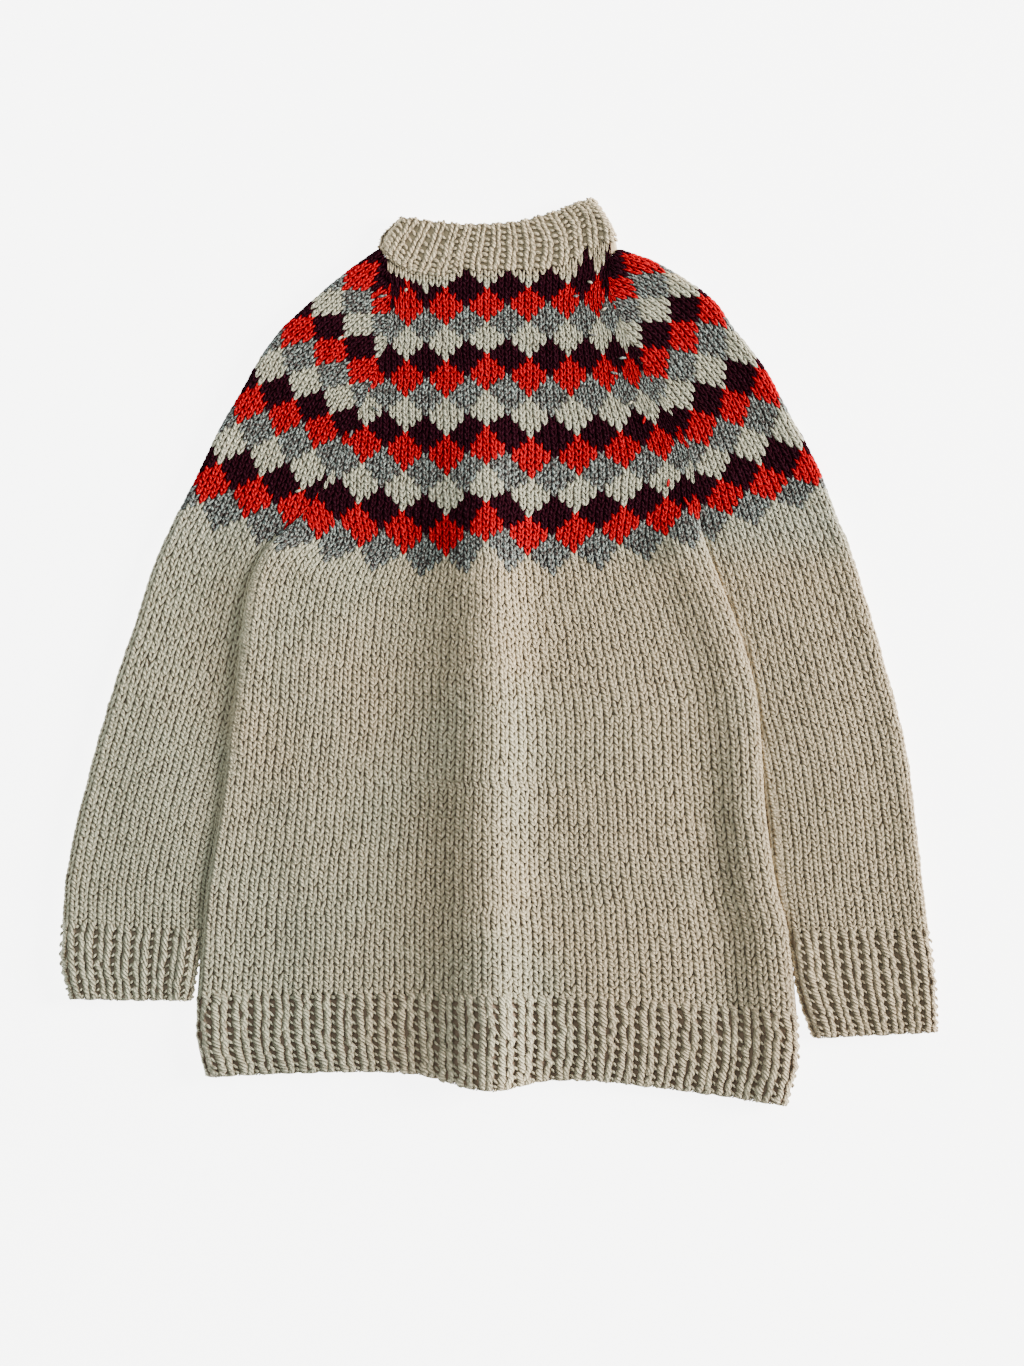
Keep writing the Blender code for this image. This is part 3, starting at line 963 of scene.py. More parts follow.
    def build(self, materials: list[bpy.types.Material]) -> bpy.types.Object:
        """Make the mesh, with each strand's own coordinates and a patch of the texture map.

        Args:
            materials: The yarns' materials.

        Returns:
            The new object, linked to the scene.
        """
        points, strand, painted_light, plies, yarns = map(np.concatenate, zip(*self.parts))
        count = len(points)
        rows, columns = self.stations, self.rounds
        corner = np.arange(rows * columns).reshape(rows, columns)
        quad = np.stack(
            [corner[:-1, :-1], corner[1:, :-1], corner[1:, 1:], corner[:-1, 1:]], axis=-1
        ).reshape(-1, 4)
        faces = (np.arange(count)[:, None, None] * rows * columns + quad[None]).reshape(-1, 4)
        mesh = bpy.data.meshes.new(self.name)
        mesh.vertices.add(count * rows * columns)
        mesh.vertices.foreach_set("co", (points * METRES_PER_MM).astype(np.float32).ravel())
        mesh.loops.add(faces.size)
        mesh.loops.foreach_set("vertex_index", faces.astype(np.int32).ravel())
        mesh.polygons.add(len(faces))
        mesh.polygons.foreach_set("loop_start", np.arange(0, faces.size, 4, dtype=np.int32))
        mesh.polygons.foreach_set("material_index", np.repeat(yarns, len(quad)).astype(np.int32))
        for material in materials:
            mesh.materials.append(material)
        write_vector(mesh, "strand", strand.reshape(-1, 3))
        write_number(mesh, "painted_light", painted_light.ravel())
        write_number(mesh, "plies", plies.ravel())
        self.map_patches(mesh, count, faces)
        mesh.update(calc_edges=True)
        mesh.shade_smooth()
        piece = bpy.data.objects.new(self.name, mesh)
        bpy.context.scene.collection.objects.link(piece)
        return piece

    def map_patches(self, mesh: bpy.types.Mesh, count: int, faces: np.ndarray) -> None:
        """Give each strand its own rectangle of the texture map.

        Args:
            mesh: The mesh to map.
            count: How many strands it has.
            faces: Its faces' corners.
        """
        grid = math.ceil(math.sqrt(count))
        margin = self.PATCH_MARGIN
        strand = np.arange(count)
        left = (strand % grid) / grid
        low = (strand // grid) / grid
        u = margin + (1.0 - 2.0 * margin) * np.linspace(0.0, 1.0, self.rounds)
        v = margin + (1.0 - 2.0 * margin) * np.linspace(0.0, 1.0, self.stations)
        patch = np.stack(np.meshgrid(u, v), axis=-1) / grid
        places = np.stack([left, low], axis=-1)[:, None, None] + patch[None]
        layer = mesh.uv_layers.new(name="OFBake")
        flat = places.reshape(-1, 2)[faces.ravel()]
        layer.data.foreach_set("uv", flat.astype(np.float32).ravel())


def write_vector(mesh: bpy.types.Mesh, name: str, values: np.ndarray) -> None:
    """Store a vector for each vertex of a mesh."""
    layer = mesh.attributes.new(name, "FLOAT_VECTOR", "POINT")
    layer.data.foreach_set("vector", values.astype(np.float32).ravel())


def write_number(mesh: bpy.types.Mesh, name: str, values: np.ndarray) -> None:
    """Store a number for each vertex of a mesh."""
    layer = mesh.attributes.new(name, "FLOAT", "POINT")
    layer.data.foreach_set("value", values.astype(np.float32).ravel())


# Legs of plain stitches and of the ribbing's knit and purl columns
HEAVY_LEG = LegShape(0.39, 0.25, 0.05, -0.22, 1.18, 0.235, 1.40, 1.2, 1.0)
LIGHT_LEG = LegShape(0.39, 0.25, 0.05, -0.18, 1.20, 0.215, 1.25, 1.0, 0.4)
FLAT_LEG = LegShape(0.40, 0.26, 0.07, -0.20, 1.18, 0.23, 0.85, 1.2, 0.5)
SEAM_BUMP = LegShape(-0.50, 0.0, 0.50, 0.24, 0.62, 0.22, 1.30, 1.4, 0.5, 0.88, 3.4)
RIB_FAT_LEG = LegShape(0.32, 0.25, 0.17, -0.20, 1.20, 0.285, 1.80, 1.3, 1.3, 1.0, 1.7)
RIB_THIN_LEG = LegShape(0.15, 0.31, 0.18, -0.20, 1.20, 0.255, 1.50, 1.1, 0.8, 1.0, 1.9)
PURL_BUMP = LegShape(-0.66, -0.10, 0.56, 0.18, 0.72, 0.34, 1.60, 1.9, 0.6, 1.0, 2.2)
# The underside's purl bumps keep less painted light, so more painted shade
UNDER_PURL_BUMP = PURL_BUMP._replace(pale=0.60)
FIRST_PURL_BUMP = LegShape(-0.55, 0.0, 0.55, 0.20, 0.45, 0.46, 1.70, 1.4, 0.4, 0.95, 1.5)
EDGE_STRANDS = (
    LegShape(0.95, 0.60, 0.15, 0.62, 1.30, 0.22, 1.30, 1.3, 0.6),
    LegShape(0.35, 0.00, -0.45, 0.62, 1.30, 0.22, 1.30, 1.3, 0.6),
)
EDGE_CHAIN = LegShape(-0.55, 0.0, 0.55, 0.98, 1.12, 0.13, 1.20, 0.5, 1.2)


@dataclass
class BaseCloth:
    """The closed sheet of cloth that a piece's stitches stand on.

    Attributes:
        name: The name of the piece.
        node: The CAD node that it stands for.
        painted_light: How much painted light it keeps between the stitches, from 0, all painted
            shade, to 1.
        ground: The material under cream stitches, in the ribbing the cream with painted shade.
    """

    name: str
    node: str
    # Between the stitches the base is mostly painted shade
    painted_light: float = 0.10
    ground: Colour = Colour.CREAM

    def build(
        self, knitting: Knitting, relief: np.ndarray, materials: list[bpy.types.Material]
    ) -> bpy.types.Object:
        """Make the sheet a little below the stitches' feet and give it its thickness.

        Args:
            knitting: The stitches' corners.
            relief: How far each corner, or each line between wales, is raised.
            materials: The yarns' materials.

        Returns:
            The new object, linked to the scene.
        """
        raised = np.broadcast_to(relief - BASE_DEPTH, knitting.points.shape[:2])
        outer = knitting.points + knitting.normals * raised[..., None]
        inner = knitting.points - knitting.normals * WALL
        rows, columns = outer.shape[:2]
        index = np.arange(rows * columns).reshape(rows, columns)
        top = np.linalg.norm(np.diff(knitting.points[:-1], axis=1), axis=2)
        foot = np.linalg.norm(np.diff(knitting.points[1:], axis=1), axis=2)
        kept = np.maximum(top, foot) > NO_WIDTH
        cells = np.argwhere(kept)
        course, wale = cells[:, 0], cells[:, 1]
        below, beside = course + 1, wale + 1
        corners = ((course, wale), (below, wale), (below, beside), (course, beside))
        quads = np.stack([index[corner] for corner in corners], axis=1)
        across = knitting.points[1, 1] - knitting.points[1, -2]
        down = knitting.points[1, columns // 2] - knitting.points[-2, columns // 2]
        if np.dot(np.cross(across, down), knitting.normals[rows // 2, columns // 2]) < 0:
            quads = quads[:, ::-1]
        edges = np.concatenate([quads[:, [k, (k + 1) % 4]] for k in range(4)])
        ordered = np.sort(edges, axis=1)
        _, first, counts = np.unique(ordered, axis=0, return_index=True, return_counts=True)
        rim = edges[first[counts == 1]]
        lower = rows * columns
        sides = np.stack([rim[:, 1], rim[:, 0], rim[:, 0] + lower, rim[:, 1] + lower], axis=1)
        faces = np.concatenate([quads, quads[:, ::-1] + lower, sides])
        points = np.concatenate([outer.reshape(-1, 3), inner.reshape(-1, 3)]) * METRES_PER_MM
        mesh = bpy.data.meshes.new(self.name)
        mesh.from_pydata(points.tolist(), [], faces.tolist())
        yarns = knitting.yarns[course, wale]
        yarns = np.where(yarns < 0, int(Colour.CREAM), yarns)
        yarns = np.where(yarns == int(Colour.CREAM), int(self.ground), yarns)
        colours = np.concatenate([yarns, yarns, np.zeros(len(sides), int)])
        mesh.polygons.foreach_set("material_index", colours.astype(np.int32))
        for material in materials:
            mesh.materials.append(material)
        self.tidy(mesh)
        mesh.shade_smooth()
        write_vector(mesh, "strand", np.zeros((len(mesh.vertices), 3)))
        write_number(mesh, "painted_light", np.full(len(mesh.vertices), self.painted_light))
        write_number(mesh, "plies", np.zeros(len(mesh.vertices)))
        piece = bpy.data.objects.new(self.name, mesh)
        bpy.context.scene.collection.objects.link(piece)
        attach(piece, "root")
        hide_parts(self.node)
        return piece

    def tidy(self, mesh: bpy.types.Mesh) -> None:
        """Join corners that coincide and drop those that no face uses.

        Args:
            mesh: The sheet's mesh.
        """
        work = bmesh.new()
        work.from_mesh(mesh)
        loose = [vertex for vertex in work.verts if not vertex.link_faces]
        bmesh.ops.delete(work, geom=loose, context="VERTS")
        bmesh.ops.remove_doubles(work, verts=work.verts, dist=JOIN_WITHIN_METRES)
        bmesh.ops.recalc_face_normals(work, faces=work.faces)
        work.to_mesh(mesh)
        work.free()


@dataclass
class Cut:
    """The flat cut of one piece of cloth.

    Attributes:
        width: Its width in metres, all round where it is round.
        length: Its length in metres.
        area: Its area in square metres.
    """

    width: float
    length: float
    area: float


class Piece:
    """A knitted piece of the garment: its base cloth and the stitches on it."""

    slot = "knit"

    def declare(
        self,
        cloth: bpy.types.Object,
        cut: Cut,
        rests_on: list[str],
        stitches: list[bpy.types.Object],
    ) -> None:
        """Attach the stitches to the root and log how many triangles each piece has.

        Args:
            cloth: The base cloth.
            cut: Its flat cut; not used.
            rests_on: What it lies on; not used.
            stitches: The meshes of its stitches.
        """
        for piece in stitches:
            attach(piece, "root")
        for piece in [cloth] + stitches:
            report(piece)


def report(piece: bpy.types.Object) -> None:
    """Say what a piece came to."""
    piece.data.calc_loop_triangles()
    LOG.info("%s: %d triangles", piece.name, len(piece.data.loop_triangles))


def stitch_cells(knitting: Knitting, wanted: np.ndarray) -> np.ndarray:
    """Course and wale of every stitch that has a yarn and is wanted."""
    return np.argwhere((knitting.yarns >= 0) & wanted)


def cast_plain(
    name: str,
    knitting: Knitting,
    wanted: np.ndarray,
    materials: list[bpy.types.Material],
    seed: int,
    fine: bool = True,
    seam: np.ndarray | None = None,
    leftwards: bool = False,
) -> bpy.types.Object:
    """Knit plain stitches as one mesh.

    Args:
        name: The name of the mesh.
        knitting: The stitches' corners.
        wanted: True for each stitch that belongs to this mesh.
        materials: The yarns' materials.
        seed: Picks the stitches' small differences.
        fine: Full detail, or else the plainer strands of the underside.
        seam: True for each stitch of a sewn seam, which shows its crossing strand.
        leftwards: Whether the wales are counted from right to left.

    Returns:
        The new object.
    """
    chance = np.random.default_rng(seed)
    mesh = YarnMesh(name) if fine else YarnMesh(name, stations=3, rounds=3)
    sewn = np.zeros(knitting.yarns.shape, bool) if seam is None else seam
    cells = stitch_cells(knitting, wanted)
    mesh.legs(knitting, cells, LIGHT_LEG if fine else FLAT_LEG, leftwards, chance)
    mesh.legs(knitting, cells, HEAVY_LEG if fine else FLAT_LEG, not leftwards, chance)
    mesh.legs(knitting, stitch_cells(knitting, wanted & sewn), SEAM_BUMP, False, chance)
    return mesh.build(materials)


@dataclass
class BodyPanel(Piece):
    """The front or the back, from the neck to the ribbed hem.

    Attributes:
        name: The name of its CAD node.
        courses: Where its courses run.
        upper: The layer on top, or else the one that lies on the ground.
        cut: Its flat cut.
        wales: Stitches across the body.
        seed: Picks its small differences.
        yoke_end: The first plain course under the yoke.
        crush_reach: How far in from each seam its stitches are squeezed.
        seam_wale: The wale on which the sewn side seam shows.
        seam_courses: The courses on which it shows.
    """

    name: str
    courses: tuple[Course, ...]
    upper: bool
    cut: Cut
    wales: int = 59
    seed: int = 1
    yoke_end: int = 48
    crush_reach: float = 22.0
    seam_wale: int = 1
    seam_courses: tuple[int, int] = (51, 78)

    # Over how many of the yoke's last courses the plain body's even stitches take over
    EVEN_OUT = 8.0
    SPOTS = 900

    # How far the courses of each layer wander
    UPPER_DRIFT = 1.0
    LOWER_DRIFT = 0.5

    def line(self, number: float) -> Line:
        """A course line of the panel.

        Args:
            number: The number of the course.

        Returns:
            The line.
        """
        course = Course(*at_course(self.courses, number))
        left_x, left_place = OUTLINE.at("left", course.left_y)
        right_x, right_place = OUTLINE.at("right", course.right_y)
        middle = (course.left_y + course.right_y) / 2.0
        return Line(
            (left_x, course.left_y),
            (right_x, course.right_y),
            OUTLINE.roll(left_place),
            OUTLINE.roll(right_place),
            sag=middle - course.centre_y,
            sag_curve=course.curve,
            lift=course.lift if self.upper else 0.0,
            seam_puff=BODY_EDGE_PUFF,
            seam_reach=BODY_PUFF_REACH,
            start_share=LEFT_PUFF_SHARE,
            end_inset=RIGHT_PUFF_INSET,
        )

    def parting(self, strip: Strip, number: float) -> np.ndarray:
        """Where the wales part on one course line.

        Args:
            strip: The line in space.
            number: The number of its course.

        Returns:
            Distances along the line, one more than there are wales.
        """
        course = Course(*at_course(self.courses, number))
        crest = strip.along_at_x(CREST_X)
        half = self.wales / 2.0
        blend = float(ease((number - self.yoke_end) / self.EVEN_OUT + 1.0))
        left_wide = course.left_wide * (1.0 - blend) + blend * crest / half
        right_wide = course.right_wide * (1.0 - blend) + blend * (strip.length - crest) / half
        spots = np.linspace(0.0, strip.length, self.SPOTS)
        away = spots - crest
        count = np.where(away < 0, away / left_wide, away / right_wide)
        squeeze = np.exp(-(strip.length - spots) / self.crush_reach)
        count = count + course.right_crush * (1.0 - blend) * squeeze
        count = count - course.left_crush * (1.0 - blend) * np.exp(-spots / self.crush_reach)
        count = np.where(count < 0, count * min(1.0, -half / count[0]), count)
        count = np.where(count > 0, count * min(1.0, half / count[-1]), count)
        return strip.snug(np.interp(np.arange(self.wales + 1) - half, count, spots))

    def knit(self) -> Knitting:
        """Lay out every stitch of the panel.

        Returns:
            The knitting, with the chart's yarns.
        """
        first, last = int(self.courses[0].number), int(self.courses[-1].number)
        numbers = range(first, last + 1)
        strips = [Strip(*self.line(number).profile(self.upper)) for number in numbers]
        places = [self.parting(strip, number) for strip, number in zip(strips, numbers)]
        knitting = Knitting.from_strips(strips, places, first)
        course = np.arange(first, last)[:, None]
        wale = np.arange(self.wales)[None, :] - self.wales // 2
        knitting.yarns = charted(course, wale)
        knitting.drop_slivers()
        if self.upper:
            knitting.keep_band_cream()
        return knitting

    def build(self, materials: list[bpy.types.Material]) -> None:
        """Args:
            materials: The yarns' materials.
        """
        knitting = self.knit()
        base = BaseCloth(self.name + "_cloth", self.name)
        knitting.wander(self.seed, self.UPPER_DRIFT if self.upper else self.LOWER_DRIFT)
        cloth = base.build(knitting, knitting.edge_relief(), materials)
        if self.upper:
            stitches = self.knit_upper(knitting, materials)
            rests_on = "back_cloth"
        else:
            name, every = self.name + "_stitches", np.ones(knitting.yarns.shape, bool)
            stitches = [cast_plain(name, knitting, every, materials, self.seed, fine=False)]
            rests_on = "floor"
        self.declare(cloth, self.cut, [rests_on], stitches)

    def knit_upper(
        self, knitting: Knitting, materials: list[bpy.types.Material]
    ) -> list[bpy.types.Object]:
        """Knit the stitches of the layer on top.

        Args:
            knitting: The stitches' corners.
            materials: The yarns' materials.

        Returns:
            The meshes of the yoke and of both halves of the plain body.
        """
        course = np.arange(knitting.yarns.shape[0])[:, None] + knitting.first_course
        column = np.arange(self.wales)[None, :]
        left = column < self.wales // 2
        yoke = course < self.yoke_end
        start, end = self.seam_courses
        sewn = (column == self.seam_wale) & (course >= start) & (course < end)
        parts = (
            ("_yoke_stitches", yoke),
            ("_left_stitches", ~yoke & left),
            ("_right_stitches", ~yoke & ~left),
        )
        stitches = []
        for number, (ending, wanted) in enumerate(parts):
            name, seed = self.name + ending, self.seed + number
            stitches.append(cast_plain(name, knitting, wanted, materials, seed, seam=sewn))
        return stitches


@dataclass
class Sleeve(Piece):
    """A sleeve, folded flat along its outer edge.

    Attributes:
        side: Which sleeve.
        courses: Where its courses run.
        phase: Stitches from the outer fold to the middle of a red diamond.
        cut: Its flat cut.
        reach: Stitches on each side of the outer fold.
        seed: Picks its small differences.
        seam_courses: The courses on which its sewn seam shows.
    """

    side: Side
    courses: tuple[SleeveCourse, ...]
    phase: float
    cut: Cut
    reach: int = 19
    seed: int = 11
    seam_courses: tuple[int, int] = (0, 0)

    # The wale on which the sewn seam shows, counted from the seam, how many stitches past the
    # outer fold still belong to the upper side's mesh, and how far courses wander
    SEAM_WALE = 2
    PAST_FOLD = 1.6
    DRIFT = 0.8

    @property
    def name(self) -> str:
        """The name of its CAD node."""
        return "sleeve_" + self.side.value

    def line(self, number: float) -> Line:
        """A course line of one layer of the sleeve.

        Args:
            number: The number of the course.

        Returns:
            The line, from the seam to the outer fold.
        """
        course = SleeveCourse(*at_course(self.courses, number))
        seam_x, place = OUTLINE.at(self.side.value, course.seam_y)
        fold_x, _ = OUTLINE.at(self.side.value + "_fold", course.fold_y)
        return Line(
            (seam_x, course.seam_y),
            (fold_x, course.fold_y),
            OUTLINE.roll(place),
            1.0,
            end_is_seam=False,
            seam_puff=SLEEVE_EDGE_PUFF,
        )

    def knit(self) -> tuple[Knitting, np.ndarray]:
        """Lay out every stitch round the sleeve.

        Returns:
            The knitting, and which stitches are on the upper side.
        """
        first, last = int(self.courses[0].number), int(self.courses[-1].number)
        wales = 2 * self.reach
        strips, places = [], []
        turns = self.phase + 0.5 + self.reach - np.arange(wales + 1)
        over = (turns[:-1] + turns[1:]) / 2.0 > -self.PAST_FOLD
        for number in range(first, last + 1):
            line = self.line(number)
            upper_points, upper_normals = line.profile(True)
            lower_points, lower_normals = line.profile(False)
            points = np.concatenate([upper_points, lower_points[::-1][1:]])
            normals = np.concatenate([upper_normals, lower_normals[::-1][1:]])
            strip = Strip(points, normals)
            fold = float(strip.along[len(upper_points) - 1])
            wide = SleeveCourse(*at_course(self.courses, number)).wide
            strips.append(strip)
            places.append(strip.snug(np.clip(fold - turns * wide, 0.0, strip.length)))
        knitting = Knitting.from_strips(strips, places, first)
        course = np.arange(first, last)[:, None]
        wale = (self.reach - np.arange(wales))[None, :]
        knitting.yarns = charted(course, wale)
        tips = (course < BAND_COURSES) & (knitting.yarns == int(Colour.CREAM))
        knitting.yarns = np.where(tips, int(Colour.BLACK), knitting.yarns)
        knitting.drop_slivers()
        return knitting, np.tile(over, (last - first, 1))

    def build(self, materials: list[bpy.types.Material]) -> None:
        """Args:
            materials: The yarns' materials.
        """
        knitting, over = self.knit()
        knitting.wander(self.seed, self.DRIFT)
        sheet = BaseCloth(self.name + "_cloth", self.name)
        cloth = sheet.build(knitting, knitting.edge_relief(), materials)
        course = np.arange(knitting.yarns.shape[0])[:, None] + knitting.first_course
        there = knitting.yarns >= 0
        sewn = there & (np.cumsum(there, axis=1) == self.SEAM_WALE)
        sewn = sewn & (course >= self.seam_courses[0]) & (course < self.seam_courses[1])
        left = self.side is Side.LEFT
        name, under = self.name + "_stitches", self.name + "_under_stitches"
        stitches = [
            cast_plain(name, knitting, over, materials, self.seed, seam=sewn, leftwards=left),
            cast_plain(under, knitting, ~over, materials, self.seed, fine=False),
        ]
        self.declare(cloth, self.cut, ["floor"], stitches)


@dataclass
class Ribbing(Piece):
    """A piece of 1x1 ribbing: raised knit columns with purl bumps between them.

    Attributes:
        name: The name of its CAD node.
        lines: The course lines, from the first to the edge, for either layer.
        ribs: Knit columns across its upper side.
        layers: The layers that it has.
        cut: Its flat cut.
        bound: Whether its last course is a bound edge.
        relief: How far its knit columns stand over the purl ones.
        seed: Picks its small differences.
        ribbed: How many of its courses are ribbed, where not all are.
        over_edge: Whether its columns run on over its first line.
        recess_painted_light: How much painted light the base keeps between the purl bumps, from 0,
            all painted shade, to 1.
        knit_share: How much of the width its knit columns take.
    """

    name: str
    lines: list[Line]
    ribs: int
    layers: Layers
    cut: Cut
    bound: bool = True
    relief: float = 1.0
    seed: int = 21
    ribbed: int | None = None
    over_edge: bool = False
    recess_painted_light: float = 0.38
    knit_share: float = 0.77
    slot = "rib"

    # How wide the slope of a knit column is, in ribs, how far out from the middle the base
    # under the charted courses is black, and how far courses wander
    SHOULDER = 0.07
    CHART_REACH = 88.0
    DRIFT = 0.9

    # Where the columns' first strands start, in courses: at an edge that they run over, or else
    # up under the plain stitches
    START_OVER_EDGE = 0.2
    START_AT_SEAM = -0.6

    # How the cloth turns over its first edge: how far out, how far down, and its tilt
    EDGE_REACH = 1.4
    EDGE_DROP = 2.6
    EDGE_TURN = 1.3

    def strips(self) -> tuple[list[Strip], list[float]]:
        """The course lines in space.

        Returns:
            The lines, and how far along each its upper side ends.
        """
        strips, turns = [], []
        over, under = self.layers.value
        for line in self.lines:
            points, normals = [], []
            if over:
                points, normals = map(list, line.profile(True))
            turn = len(points)
            if under:
                lower = line.profile(False)
                if over:
                    points += list(lower[0][::-1][1:])
                    normals += list(lower[1][::-1][1:])
                else:
                    points, normals = map(list, lower)
            strip = Strip(np.array(points), np.array(normals))
            strips.append(strip)
            turns.append(float(strip.along[turn - 1]) if over and under else strip.length)
        if self.over_edge:
            strips.insert(0, self.past_edge(strips[0]))
            turns.insert(0, turns[0])
        return strips, turns

    def past_edge(self, first: Strip) -> Strip:
        """The line just past the first one, where the cloth turns over its edge.

        Args:
            first: The first line.

        Returns:
            The line past it.
        """
        down = self.EDGE_DROP * first.normals[:, 2]
        shift = np.stack([np.zeros_like(down), np.full_like(down, self.EDGE_REACH), -down], axis=1)
        normals = first.normals + np.array([0.0, self.EDGE_TURN, 0.0])
        return Strip(first.points + shift, normals)

    def spread(self, strips: list[Strip], turns: list[float], places: np.ndarray) -> Knitting:
        """Lay corners at the same places on every course line.

        Args:
            strips: The course lines.
            turns: How far along each its upper side ends.
            places: The places, counted in ribs and going on from the upper side to the lower.

        Returns:
            The knitting with those corners.
        """
        around = []
        for strip, turn in zip(strips, turns):
            around.append(np.clip(places * turn / self.ribs, 0.0, strip.length))
        return Knitting.from_strips(strips, around)

    def lay_base(self, strips: list[Strip], turns: list[float]) -> tuple[Knitting, np.ndarray]:
        """Lay the ribbed base cloth.

        Args:
            strips: The course lines.
            turns: How far along each its upper side ends.

        Returns:
            Its corners, and how far each is raised.
        """
        over, under = self.layers.value
        shares = (0.0, self.SHOULDER, self.knit_share - self.SHOULDER, self.knit_share)
        rib = np.arange(self.ribs)[:, None]
        places = np.append((rib + np.array(shares)).ravel(), float(self.ribs))
        height = np.append(np.tile([0.0, 1.0, 1.0, 0.0], self.ribs), 0.0) * self.relief
        if not over:
            height = np.zeros_like(height)
        if over and under:
            places = np.append(places, np.arange(self.ribs + 1, 2 * self.ribs + 1))
            height = np.append(height, np.zeros(self.ribs))
        base = self.spread(strips, turns, places)
        ribbed = (np.arange(len(strips)) < self.ribbed_rows(len(strips)))[:, None]
        if self.ribbed is not None:
            charted_part = np.abs(base.points[:-1, :-1, 0]) < self.CHART_REACH
            base.yarns = np.where(charted_part & ~ribbed[:-1], int(Colour.BLACK), base.yarns)
        return base, ribbed * height

    def ribbed_rows(self, lines: int) -> int:
        """How many of the lines lie in the ribbing."""
        return lines if self.ribbed is None else self.ribbed + int(self.over_edge)

    def build(self, materials: list[bpy.types.Material]) -> None:
        """Args:
            materials: The yarns' materials.
        """
        strips, turns = self.strips()
        base, raised = self.lay_base(strips, turns)
        # The base between the ribs gets painted shade, on the darker cream copy
        sheet = BaseCloth(self.name + "_cloth", self.name, self.recess_painted_light, Colour.SHADED)
        cloth = sheet.build(base, raised, materials)
        over, under = self.layers.value
        count = 2 * self.ribs if over and under else self.ribs
        pairs = (np.arange(count)[:, None] + [0.0, self.knit_share]).ravel()
        grid = self.spread(strips, turns, np.append(pairs, float(count)))
        grid.wander(self.seed, self.DRIFT)
        rows = np.arange(grid.yarns.shape[0])
        ribbed = rows < self.ribbed_rows(len(strips))
        column = np.arange(grid.yarns.shape[1])
        upper = (column < 2 * self.ribs) & over
        stitches = []
        if over:
            stitches.append(self.knit_upper(grid, ribbed[:, None] & upper, materials))
        if under:
            stitches.append(self.knit_under(grid, ~upper, materials))
        rests = ["back_hem_rib_cloth"] if self.name == "front_hem_rib" else ["floor"]
        self.declare(cloth, self.cut, rests, stitches)

    def knit_upper(
        self, grid: Knitting, wanted: np.ndarray, materials: list[bpy.types.Material]
    ) -> bpy.types.Object:
        """Knit the upper side: two strands up each knit column, and a bump for each purl stitch.

        Args:
            grid: The corners of its knit and purl columns, in turn.
            wanted: True for each stitch of the upper side.
            materials: The yarns' materials.

        Returns:
            The mesh.
        """
        chance = np.random.default_rng(self.seed)
        knit = np.arange(grid.yarns.shape[1]) % 2 == 0
        raised = Knitting(grid.points + grid.normals * self.relief, grid.normals, grid.yarns)
        mesh = YarnMesh(self.name + "_stitches")
        cells = stitch_cells(grid, wanted & knit)
        first = cells[:, 0] == 0
        start = self.START_OVER_EDGE if self.over_edge else self.START_AT_SEAM
        for shape, mirrored in ((RIB_FAT_LEG, True), (RIB_THIN_LEG, False)):
            mesh.legs(raised, cells[~first], shape, mirrored, chance)
            mesh.legs(raised, cells[first], shape._replace(top_down=start), mirrored, chance)
        cells = stitch_cells(grid, wanted & ~knit)
        first = cells[:, 0] == 0
        mesh.legs(grid, cells[~first], PURL_BUMP, False, chance)
        if not self.over_edge:
            mesh.legs(grid, cells[first], FIRST_PURL_BUMP, False, chance)
        if self.bound:
            last = grid.yarns.shape[0] - 1
            edge = cells[cells[:, 0] == last]
            for shape in EDGE_STRANDS:
                mesh.legs(grid, edge, shape, False, chance)
            columns = edge - np.array([0, 1])
            mesh.legs(grid, columns, EDGE_CHAIN, False, chance)
        return mesh.build(materials)

    def knit_under(
        self, grid: Knitting, wanted: np.ndarray, materials: list[bpy.types.Material]
    ) -> bpy.types.Object:
        """Knit the side that lies on the ground, pressed flat.

        Args:
            grid: The corners of its knit and purl columns, in turn.
            wanted: True for each stitch of the lower side.
            materials: The yarns' materials.

        Returns:
            The mesh.
        """
        chance = np.random.default_rng(self.seed)
        knit = np.arange(grid.yarns.shape[1]) % 2 == 0
        mesh = YarnMesh(self.name + "_under_stitches", stations=3, rounds=3)
        cells = stitch_cells(grid, wanted & knit)
        for mirrored in (False, True):
            mesh.legs(grid, cells, FLAT_LEG, mirrored, chance)
        mesh.legs(grid, stitch_cells(grid, wanted & ~knit), UNDER_PURL_BUMP, False, chance)
        return mesh.build(materials)


def rib_lines(rows: tuple[RibRow, ...], courses: int, on_body: bool) -> list[Line]:
    """The course lines of a stretch of ribbing.

    Args:
        rows: The table of its lines.
        courses: How many courses it has.
        on_body: Whether it is on the body, or else on a sleeve.

    Returns:
        The lines from the first to its edge.
    """
    lines = []
    for place in np.linspace(0.0, len(rows) - 1.0, courses + 1):
        row = RibRow(*between(rows, place))
        lines.append(
            Line(
                (row.start_x, row.start_y),
                (row.end_x, row.end_y),
                1.0,
                1.0,
                end_is_seam=on_body,
                sag=row.sag,
                sag_curve=row.sag_curve,
                lift=-row.ridge_drop,
                lift_left=RIB_DROP_WIDTH,
                lift_right=RIB_DROP_WIDTH,
                seam_puff=BODY_EDGE_PUFF if on_body else FOLD_PUFF,
                seam_reach=BODY_PUFF_REACH if on_body else PUFF_REACH,
                start_share=LEFT_PUFF_SHARE if on_body else 1.0,
                end_inset=RIGHT_PUFF_INSET if on_body else 0.0,
            )
        )
    return lines


